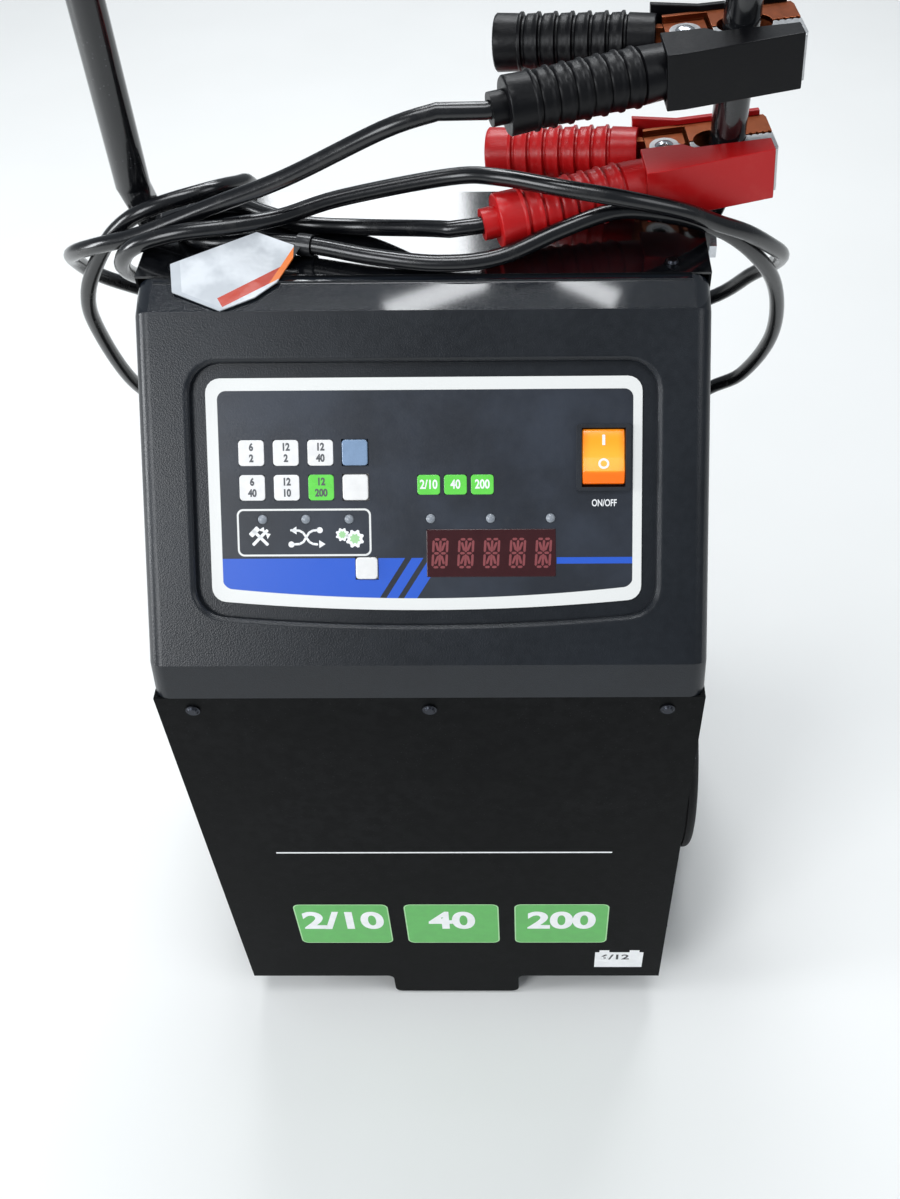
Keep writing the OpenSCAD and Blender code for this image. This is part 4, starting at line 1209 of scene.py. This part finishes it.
def gear(radius: float, teeth: int, depth: float) -> list[Flat]:
    """Corners of a plain gear wheel.

    Args:
        radius: Over its teeth.
        teeth: How many teeth it has.
        depth: Their height.

    Returns:
        The corners, anticlockwise.
    """
    made = []
    for i in range(teeth * 4):
        r = radius if i % 4 in (1, 2) else radius - depth
        a = math.tau * (i + 0.5) / (teeth * 4)
        made.append((r * math.cos(a), r * math.sin(a)))
    return made


@dataclass
class Signs:
    """Three plain signs under the left-hand lamps: tools, crossed leads and gears."""

    row: float = 62.0
    tools_at: float = -79.4
    leads_at: float = -57.3
    gears_at: float = -36.5
    low: float = LABEL_TOP + 0.01
    high: float = LABEL_TOP + 0.05

    def build(self) -> None:
        """Makes the signs."""
        white = [*self.tools(), *self.leads(), *self.gears(1, self.high)]
        seat(joined(white, "signs.white"), "charger", "label", Ink.WHITE.build())
        middles = self.gears(0.55, self.high + 0.03)
        seat(joined(middles, "signs.green"), "charger", "label", Ink.PALE_GREEN.build())

    def plate(self, outline: Sequence[Flat], name: str, high: float = 0) -> Object:
        """One flat shape of a sign."""
        return FACE.plate(outline, self.low, high or self.high, name)

    def tools(self) -> list[Object]:
        """A hammer crossed with a spanner."""
        at = (self.tools_at, self.row)
        parts = [self.plate(moved(rounded(10.4, 1.5, 0.5), at, turn), f"tools.handle.{turn}")
                 for turn in (45, 135)]
        head = rounded(5.4, 2.5, 0.5, 5, (0, 3.9))
        parts.append(self.plate(moved(head, at, 45), "tools.head"))
        jaw = [(3.0, 1.9), (1.2, 2.9), (-1.2, 2.9), (-3.0, 1.9), (-2.4, 4.8), (-1.0, 3.9),
               (1.0, 3.9), (2.4, 4.8)]
        parts.append(self.plate(moved(reversed(jaw), at, -45), "tools.jaw"))
        return parts

    def leads(self) -> list[Object]:
        """Two leads that cross, each with a round end."""
        parts = []
        for way in (1, -1):
            path = [(-7.2, -3.4), (-3.2, -3.2), (-1.4, -2.2), (1.4, 2.2), (3.2, 3.2), (5.2, 3.4)]
            bent = [(x, y * way) for x, y in path]
            for i, ((x0, y0), (x1, y1)) in enumerate(zip(bent, bent[1:])):
                run = math.hypot(x1 - x0, y1 - y0)
                turn = math.degrees(math.atan2(y1 - y0, x1 - x0))
                middle = (self.leads_at + (x0 + x1) / 2, self.row + (y0 + y1) / 2)
                parts.append(self.plate(moved(rounded(run + 0.9, 1.1, 0.5), middle, turn),
                                        f"leads.{way}.{i}"))
        for x, y in ((-7.2, -3.4), (6.6, 3.4)):
            parts.append(self.plate(rounded(2.9, 2.9, 1.4, 5, (self.leads_at + x, self.row + y)),
                                    f"leads.end.{x}"))
        arrow = [(0, 1.9), (-3.0, 0), (0, -1.9)]
        for x, y, turn in ((-4.6, 3.3, 0), (6.2, -3.3, 180)):
            parts.append(self.plate(moved(arrow, (self.leads_at + x, self.row + y), turn),
                                    f"leads.arrow.{turn}"))
        return parts

    def gears(self, share: float, high: float) -> list[Object]:
        """Two gears, or their middles.

        Args:
            share: Their size against the whole gears.
            high: Where they end.

        Returns:
            The gears.
        """
        return [self.plate(moved(gear(r * share, 8, r * share * 0.2),
                                 (self.gears_at + x, self.row + y)), f"gear.{x}", high)
                for x, y, r in ((-3.4, 1.2, 3.3), (2.6, -0.8, 4.5))]


@dataclass
class PanelPrint:
    """Print on the front panel: three green boxes, a line and a small battery."""

    boxes: tuple[tuple[float, str], ...] = ((-67.4, "2/10"), (1.0, "40"), (69.4, "200"))
    box_size: Flat = (58.6, 50.0)
    box_row: float = 98.7
    line_at: Flat = (0.0, 185.0)
    line_size: Flat = (194.4, 1.3)
    battery_at: Flat = (107.9, 49.6)
    battery_half: float = 15.7
    battery_rows: tuple[float, float, float] = (-10.6, 10.4, 13.2)
    posts_at: Flat = (9.8, -9.8)
    post_half: float = 3.2

    def build(self) -> None:
        """Makes the prints."""
        w, h = self.box_size
        rims, fills, white = [], [], []
        for x, words in self.boxes:
            at = (x, self.box_row)
            rims.append(FRONT.plate(rounded(w, h, 4.2, 6, at), 0.01, 0.03, f"box.rim.{x}"))
            fills.append(FRONT.plate(rounded(w - 1.5, h - 1.5, 3.6, 6, at), 0.02, 0.05,
                                     f"box.fill.{x}"))
            white.append(FRONT.lettering(words, (x, self.box_row + 3.6), 21.0, 0.07,
                                         f"box.figure.{x}", 1.0, 0.98))
        white.append(FRONT.plate(rounded(*self.line_size, 0.3, 2, self.line_at), 0.01, 0.05,
                                 "line"))
        white.append(FRONT.plate(moved(self.battery(), self.battery_at), 0.01, 0.04, "battery"))
        seat(joined(rims, "print.rims"), "charger", "case_steel", Ink.PALE_GREEN.build())
        seat(joined(fills, "print.boxes"), "charger", "case_steel", Ink.GREEN.build())
        seat(joined(white, "print.white"), "charger", "case_steel", Ink.WHITE.build())
        u, v = self.battery_at
        seat(FRONT.lettering("6/12", (u - 2.6, v + 3.4), 6.8, 0.06, "print.battery", 0.22, 1.12),
             "charger", "case_steel", Ink.DARK.build())

    def battery(self) -> list[Flat]:
        """Corners of a battery with two posts, round its own middle."""
        half, post = self.battery_half, self.post_half
        base, lid, top = self.battery_rows
        corners = [(-half, base), (half, base), (half, lid)]
        for x in self.posts_at:
            corners += [(x + post, lid), (x + post, top), (x - post, top), (x - post, lid)]
        return [*corners, (-half, lid)]


@dataclass
class Face:
    """Label, keys, windows, lamps, display and rocker of the sloping face."""

    key_col: float = -33.0
    key_row: float = 102.3
    pitch: float = 16.5
    side: float = 12.2
    small_key: Flat = (-28.4, 47.0)
    small_side: float = 10.5
    small_windows: tuple[tuple[float, str], ...] = ((1.9, "2/10"), (14.7, "40"), (27.5, "200"))
    small_row: float = 86.8
    small_size: Flat = (10.8, 9.4)
    switch_words: Flat = (85.6, 77.6)
    display: Flat = (31.5, 54.0)
    figure_size: Flat = (6.6, 13.4)
    figure_slant: float = 0.06
    first_figure: float = -24.6
    figure_pitch: float = 12.4
    bar_width: float = 1.15
    bar_gap: float = 0.35
    rocker_at: Flat = (85.2, 99.3)
    rocker_size: Flat = (19.9, 25.8)
    lamp_row: float = 70.6
    lamps: tuple[float, ...] = (-78.1, -57.3, -36.5, 2.6, 31.3, 60.0)

    def build(self) -> None:
        """Makes everything on the face."""
        dress(frame["nodes"]["label_plate"], PrintedFace().build("printed label"))
        Signs().build()
        self.keys()
        self.windows()
        self.readout()
        self.lenses()
        self.rocker()

    def keys(self) -> None:
        """Push keys with crowned tops."""
        blue = Lens("86a0c0", 0.0, 0.2).build("slate blue key")
        # The white keys carry a faint painted glow.
        white = Lens("f3f2f0", 0.04, 0.3).build("white key")
        spots = (("function_key", (self.key_col, self.key_row), self.side, blue, "key_blue",
                  "key_function"),
                 ("start_key", (self.key_col, self.key_row - self.pitch), self.side, white,
                  "key_white", "key_start"),
                 ("display_key", self.small_key, self.small_side, white, "key_white",
                  "key_display"))
        proud = LABEL_TOP + 1.2
        for node, at, side, material, slot, body in spots:
            cap = FACE.plate(rounded(side, side, 1.7, 5, at), -8.2, proud, f"{node}.cap", 0.5)
            stem = FACE.plate(rounded(side + 2.6, side + 2.6, 1.0, 2, at), -9.2, -8.25,
                              f"{node}.flange", 0.1)
            seat(joined([cap, stem], f"{node}.cap"), body, slot, material, [node])

    def windows(self) -> None:
        """Lit and unlit squares beside the keys, with plain figures in them."""
        # The unlit white windows carry a faint painted glow; the green ones are the lit ones.
        white = Lens("f3f2f1", 0.06, 0.3).build("white window")
        green = Lens("60c84a", 0.35).build("green window")
        low, high = LABEL_TOP - 1.2, LABEL_TOP + 0.25
        pale, lit, marks = [], [], []
        figures = {(1, 0): "12\n40", (2, 0): "12\n2", (3, 0): "6\n2",
                   (1, 1): "12\n200", (2, 1): "12\n10", (3, 1): "6\n40"}
        for (col, row), words in figures.items():
            at = (self.key_col - col * self.pitch, self.key_row - row * self.pitch)
            piece = FACE.plate(rounded(self.side, self.side, 1.7, 5, at), low, high,
                               f"window.{col}.{row}", 0.25)
            (lit if (col, row) == (1, 1) else pale).append(piece)
            marks.append(FACE.lettering(words, at, 3.5, high + 0.04, f"figure.{col}.{row}",
                                        0.21, 0.82))
        for i, (x, _) in enumerate(self.small_windows):
            lit.append(FACE.plate(rounded(*self.small_size, 1.5, 5, (x, self.small_row)), low,
                                  high, f"window.small.{i}", 0.25))
        seat(joined(pale, "windows.white"), "charger", "window_white", white,
             ["indicator_windows"])
        seat(joined(lit, "windows.green"), "charger", "window_white", green,
             ["indicator_windows"])
        seat(joined(marks, "windows.figures"), "charger", "label", Ink.GREY.build())
        white_marks = [FACE.lettering(words, (x, self.small_row), 4.3, high + 0.04,
                                      f"figure.small.{i}", 0.16, 0.8)
                       for i, (x, words) in enumerate(self.small_windows)]
        white_marks.append(FACE.lettering("ON/OFF", self.switch_words, 3.3, LABEL_TOP + 0.05,
                                          "figure.switch", 0.08, 0.72))
        seat(joined(white_marks, "label.figures"), "charger", "label", Ink.WHITE.build())

    def readout(self) -> None:
        """Dark red window with five unlit figures of bars."""
        low, high = LABEL_TOP - 1.1, LABEL_TOP + 0.3
        window = FACE.plate(rounded(62, 23, 0.8, 3, self.display), low, high,
                            "display_window.pane", 0.3)
        seat(window, "charger", "display", Lens("3b0f14", 0.0, 0.14).build("maroon window"),
             ["display_window"])
        bars = [self.bar(digit, k, Vector(start), Vector(end), high - 0.03)
                for digit in range(5) for k, (start, end) in enumerate(self.strokes())]
        # The unlit figures carry a faint painted glow.
        seat(joined(bars, "display.bars"), "charger", "display",
             Lens("8a4044", 0.03, 0.4).build("unlit figures"))

    def strokes(self) -> list[tuple[Flat, Flat]]:
        """Ends of the sixteen bars of one figure, round its middle."""
        x, y = self.figure_size[0] / 2, self.figure_size[1] / 2
        flat = [((left, row), (right, row)) for row in (y, 0, -y)
                for left, right in ((-x, 0), (0, x))]
        upright = [((-x, 0), (-x, y)), ((x, 0), (x, y)), ((-x, -y), (-x, 0)), ((x, -y), (x, 0)),
                   ((0, 0), (0, y)), ((0, -y), (0, 0))]
        slanted = [((a * (x - 1), b * (y - 1)), (a * 0.6, b * 0.7))
                   for b in (1, -1) for a in (-1, 1)]
        return [*flat, *upright, *slanted]

    def bar(self, digit: int, number: int, start: Vector, end: Vector, rise: float) -> Object:
        """One bar of a figure, pointed at both ends.

        Args:
            digit: Which figure it is in, from the left.
            number: Which bar of the figure it is.
            start: Its first end, round the figure's middle.
            end: Its second end.
            rise: Its place out of the face.

        Returns:
            The bar.
        """
        way, middle, t = end - start, (start + end) / 2, self.bar_width / 2
        reach = way.length / 2 - self.bar_gap
        outline = [(-reach, 0), (-reach + t, -t), (reach - t, -t), (reach, 0), (reach - t, t),
                   (-reach + t, t)]
        piece = solid([(x * MM, y * MM) for x, y in outline], 0, 0.06 * MM,
                      f"bar.{digit}.{number}")
        slant = Matrix.Identity(4)
        slant[0][1] = self.figure_slant
        along = self.display[0] + self.first_figure + self.figure_pitch * digit
        piece.data.transform(
            FACE_FRAME @ Matrix.Translation((along * MM, self.display[1] * MM, rise * MM))
            @ slant @ Matrix.Translation((middle.x * MM, middle.y * MM, 0))
            @ Matrix.Rotation(math.atan2(way.y, way.x), 4, "Z"))
        return piece

    def lenses(self) -> None:
        """Domed grey lamps."""
        domes = []
        r = 2.35
        profile = [(0, 0.9), (0.8, 0.82), (1.5, 0.58), (2.05, 0.2), (r, -0.4), (r, -6), (0, -6)]
        for k, u in enumerate(self.lamps):
            dome = turned([(a * MM, b * MM) for a, b in profile], f"dome.{k}", 24)
            move = FACE_FRAME @ Matrix.Translation((u * MM, self.lamp_row * MM,
                                                    LABEL_TOP * MM))
            dome.data.transform(move)
            domes.append(smooth(dome, 40))
        seat(joined(domes, "lamps.domes"), "charger", "lamp",
             Lens("9298a0", 0.0, 0.3).build("smoked lamp"), ["indicator_lamps"])

    def rocker(self) -> None:
        """Lit rocker with its two marks, in its black frame."""
        w, h = self.rocker_size
        profile = [(-h / 2, 0), (-h / 2, 2.6), (-h / 2 + 5.2, 5.4), (-1, 4.3), (1, 4.3),
                   (h / 2 - 5.2, 5.2), (h / 2, 4.4), (h / 2, 0), (4, -5), (-4, -5)]
        body = solid([(x * MM, y * MM) for x, y in profile], -w / 2 * MM, w / 2 * MM,
                     "rocker.body")
        body.data.transform(Matrix(((0, 0, 1, 0), (1, 0, 0, 0), (0, 1, 0, 0), (0, 0, 0, 1))))
        soften(body, 0.7 * MM, 3, 25)
        tilt = (FACE_FRAME @ Matrix.Translation((self.rocker_at[0] * MM, self.rocker_at[1] * MM,
                                                 (LABEL_TOP - 3.0) * MM))
                @ Matrix.Rotation(math.radians(-8), 4, "X"))
        finished(body, "rocker.body", tilt)
        seat(body, "power_rocker", "rocker", RockerGlow(tilt).build("lit orange"), ["rocker"])
        bar = solid(rounded(1.4 * MM, 5.0 * MM, 0.3 * MM, 2, (0, 7.6 * MM)), 4.4 * MM, 5.32 * MM,
                    "rocker.bar")
        ring = turned([(2.6 * MM, -0.4 * MM), (2.6 * MM, 0.14 * MM), (1.55 * MM, 0.14 * MM),
                       (1.55 * MM, -0.4 * MM)], "rocker.ring", 28)
        ring.data.transform(Matrix.Translation((0, -3.6 * MM, 4.73 * MM))
                            @ Matrix.Rotation(math.radians(-9.3), 4, "X"))
        marks = finished(joined([bar, ring], "rocker.marks"), "rocker.marks", tilt)
        seat(marks, "power_rocker", "rocker", Ink.WHITE.build())
        surround = soften(copy_of("rocker_frame", "rocker_frame.skin"), 0.35 * MM, 2, 40)
        seat(surround, "charger", "switch_body",
             Moulding("15161a", 0.35).build("black switch plastic"), ["rocker_frame"])


@dataclass(frozen=True)
class RockerGlow:
    """Orange plastic lit from inside, deeper towards its ends."""

    tilt: Matrix
    bright: str = "ff9a1c"
    deep: str = "f06a0c"
    hot: str = "ffc04a"
    glow: float = 0.45

    def build(self, name: str) -> Material:
        """Makes the material.

        Args:
            name: The material's name.

        Returns:
            The material.
        """
        s = Shader(name)
        turn = self.tilt.to_euler()
        place = s.place(tuple(self.tilt.translation), tuple(math.degrees(a) for a in turn), MM)
        u, v, _ = s.axes(place)
        ends = (0 - v).ramp(6.8, 8.0)
        sides = abs(u).ramp(6, 10) * 0.5
        mixed = s.blend((ends + sides).upto(1), tone(self.bright), tone(self.deep))
        hot = s.blend(abs(v + 1).ramp(9, 0) * 0.35, mixed, tone(self.hot))
        return s.end(Base_Color=hot, Roughness=s.noise(s.place(), 400, 2) * 0.1 + 0.2,
                     Emission_Color=hot, Emission_Strength=self.glow, Coat_Weight=0.5)


# --------------------------------------------------------------------- fittings


@dataclass
class Fittings:
    """Handle, wheels, foot pad, rear fittings and what sits inside the case."""

    tube: Coating = Coating("0c0d10", 0.18, peel=0.00002, coat=0.6, dust=0.4)
    chrome: Metal = Metal("c9ccd0", 0.16, stained=0.3)
    zinc: Metal = Metal("a3a6ab", 0.34, stained=0.4)
    dark: Metal = Metal("3a3c42", 0.3, stained=0.3)
    tyre: Rubber = Rubber("141416", 0.78, bloomed=0.25)
    rim: Moulding = Moulding("17181b", 0.45)
    pad: Rubber = Rubber("101012", 0.85)
    aluminium: Metal = Metal("b5b8bc", 0.38, (1, 12, 1))
    brass: Metal = Metal("b89a4c", 0.3)
    board: Moulding = Moulding("0f4a2c", 0.4, dust_and_sheen=0.05)
    core: Layers = Layers("6f7378", "2a2c30", 0.0009, 0, 0.4)
    wire: Layers = Layers("b8652f", "4a2412", 0.0012, 2, 0.3)
    fan: Moulding = Moulding("131416", 0.4)
    vinyl: Rubber = Rubber("101114", 0.5)
    inlet: Moulding = Moulding("111214", 0.35)

    def build(self) -> None:
        """Dresses every node of the fittings."""
        table: dict[str, tuple[Any, Sequence[str]]] = {
            "handle gloss": (self.tube, ["handle_tube"]),
            "bright plate": (self.chrome, ["handle_bolts", "rear_screws"]),
            "blackened screws": (self.dark, ["front_screws", "cover_screws", "side_screws"]),
            "tyre rubber": (self.tyre, ["tyre_left", "tyre_right"]),
            "rim plastic": (self.rim, ["rim_left", "rim_right"]),
            "axle zinc": (self.zinc, ["axle", "axle_caps", "transformer_bracket", "fan_guard"]),
            "foot rubber": (self.pad, ["foot_pad"]),
            "cast fins": (self.aluminium, ["heat_sink"]),
            "board posts": (self.brass, ["board_posts"]),
            "green board": (self.board, ["control_board"]),
            "laminations": (self.core, ["transformer_core"]),
            "enamelled wire": (self.wire, ["transformer_windings"]),
            "fan plastic": (self.fan, ["fan_frame", "fan_rotor"]),
            "gland vinyl": (self.vinyl, ["gland_black", "gland_red"]),
            "inlet plastic": (self.inlet, ["mains_inlet", "display_module", "rectifiers"]),
        }
        for name, (finish, nodes) in table.items():
            material = finish.build(name)
            for node in nodes:
                dress(frame["nodes"][node], material)
                LOG.info("%s dressed in %s", node, name)


# ----------------------------------------------------------------------- clamps


@dataclass
class Clamp:
    """One spring clamp: metal levers, soft sleeves and rivet."""

    station: Station
    sleeve: Rubber
    slot: str
    body: str
    steel: Metal = Metal("c4c5c6", 0.3, stained=0.35, stain="6a5a4a")
    copper: Metal = Metal("8a4a2c", 0.34, stained=0.6, stain="2f1a12")
    plate: Metal = Metal("c9ccd0", 0.22)
    hood_start: float = -12.0
    sharp: float = 0.56

    def build(self) -> list[Object]:
        """Makes the clamp.

        Returns:
            Its pieces on the lead.
        """
        name = self.station.name
        sleeve = self.sleeve.build(f"{name} sleeve")
        inverse = self.station.matrix().inverted()
        pieces = []

        def on_hood(edge: Any) -> bool:
            """Says whether an edge is a sharp one of the hood, not of the ringed grip."""
            return (len(edge.link_faces) == 2 and edge.calc_face_angle() > self.sharp
                    and all((inverse @ end.co).x > self.hood_start * MM for end in edge.verts))

        for node, body in ((f"{name}_clamp_sleeve", "charger"),
                           (f"{name}_clamp_jaw_sleeve", self.body)):
            piece = copy_of(node, f"{node}.skin")
            edit(piece, on_hood, "EDGE")
            bpy.ops.mesh.bevel(offset=0.5 * MM, segments=2, affect="EDGES")
            close()
            pieces.append(seat(level(piece, 50), body, self.slot, sleeve, [node]))
        for node, body, metal in ((f"{name}_clamp_lever", "charger", self.steel),
                                  (f"{name}_clamp_jaw_lever", self.body, self.copper)):
            piece = soften(copy_of(node, f"{node}.skin"), 0.25 * MM, 2, 40)
            pieces.append(seat(piece, body, "clamp_metal", metal.build(f"{node} metal"),
                               [node]))
        rivet = frame["nodes"][f"{name}_clamp_rivet"]
        dress(rivet, self.plate.build(f"{name} rivet"))
        pieces.append(rivet)
        return pieces


@dataclass
class Tag:
    """Card tag in a clear pocket, with an orange stripe along its lower right edge and painted
    shade along its creases.
    """

    card: str = "d4d8dc"
    # Grey of the painted shade in the creases.
    crease_shade: str = "979da4"
    stripe: str = "b8300f"
    thin_stripe: str = "e8761c"
    pocket: str = "aeb4ba"
    collar: str = "17181b"
    height: float = 0.4793
    slope: float = 25.0
    corners: tuple[Flat, ...] = ((-119, 23), (-117, 8), (-94, -2), (-68, 13), (-58, 31.5))

    def build(self) -> list[Object]:
        """Dresses the tag.

        Returns:
            The piece.
        """
        s = Shader("tag card")
        x, y, n = s.axes(s.place((0, 0, self.height), (self.slope, 0, 0), MM))

        def inside(start: Flat, end: Flat) -> tuple[Sock, Sock]:
            """Distance in from an edge, and along it, in millimetres."""
            along = (Vector(end) - Vector(start)).normalized()
            return ((y - start[1]) * along.x - (x - start[0]) * along.y,
                    (x - start[0]) * along.x + (y - start[1]) * along.y)

        (left, _), (low, _), (broad, run), (thin, _) = (
            inside(start, end) for start, end in zip(self.corners, self.corners[1:]))
        fibres = s.noise(s.place(), 600, 4)
        creases = s.noise(s.place(), 55, 3)
        # Painted shade: the card greys where the noise that bumps its creases is high.
        pale = s.blend(creases.ramp(0.42, 0.68) * 0.5, tone(self.card), tone(self.crease_shade))
        mixed = s.blend((broad > 1.0) * (broad < 6.4) * (run > 2.0), pale,
                        tone(self.stripe))
        mixed = s.blend((thin < 2.8) * (broad > 1.0), mixed, tone(self.thin_stripe))
        mixed = s.blend(((left < 4.6) + (low < 1.8)).upto(1) * 0.7, mixed, tone(self.pocket))
        mixed = s.blend(((n > 4) + (x > -61)).upto(1), mixed, tone(self.collar))
        tag = frame["nodes"]["lead_tag"]
        dress(tag, s.end(Base_Color=mixed, Roughness=fibres * 0.1 + 0.3, Coat_Weight=0.25,
                         Normal=s.bump(creases, 0.0012)))
        return [tag]


def main() -> None:
    """Builds the charger's looks in order."""
    logging.basicConfig(level=logging.INFO, format="%(name)s: %(message)s")
    Viewpoint().build()
    springs = frame["nodes"]["clamp_springs"]
    dress(springs, Metal("9a9da3", 0.3).build("spring wire"))
    black_vinyl = Rubber("050508", 0.4, bloomed=0.02, shine=0.25)
    red_vinyl = Rubber("be1417", 0.36, bloom="e5887e", bloomed=0.08, shine=0.4)
    black = Clamp(BLACK_STATION, black_vinyl, "grip_black", "black_jaw").build()
    red = Clamp(RED_STATION, red_vinyl, "grip_red", "red_jaw").build()
    tag = Tag().build()
    jacket = Rubber("08090d", 0.25, bloomed=0.05, depth=0.00002, coat=0.35)
    Lead("black", BLACK_ROUTE, BLACK_STATION, jacket, 1.84).build(black)
    Lead("red", RED_ROUTE, RED_STATION, jacket, 1.50).build([*red, *tag])
    Case().build()
    PanelPrint().build()
    Face().build()
    Fittings().build()
    Studio().build()


if __name__ == "__main__":
    main()
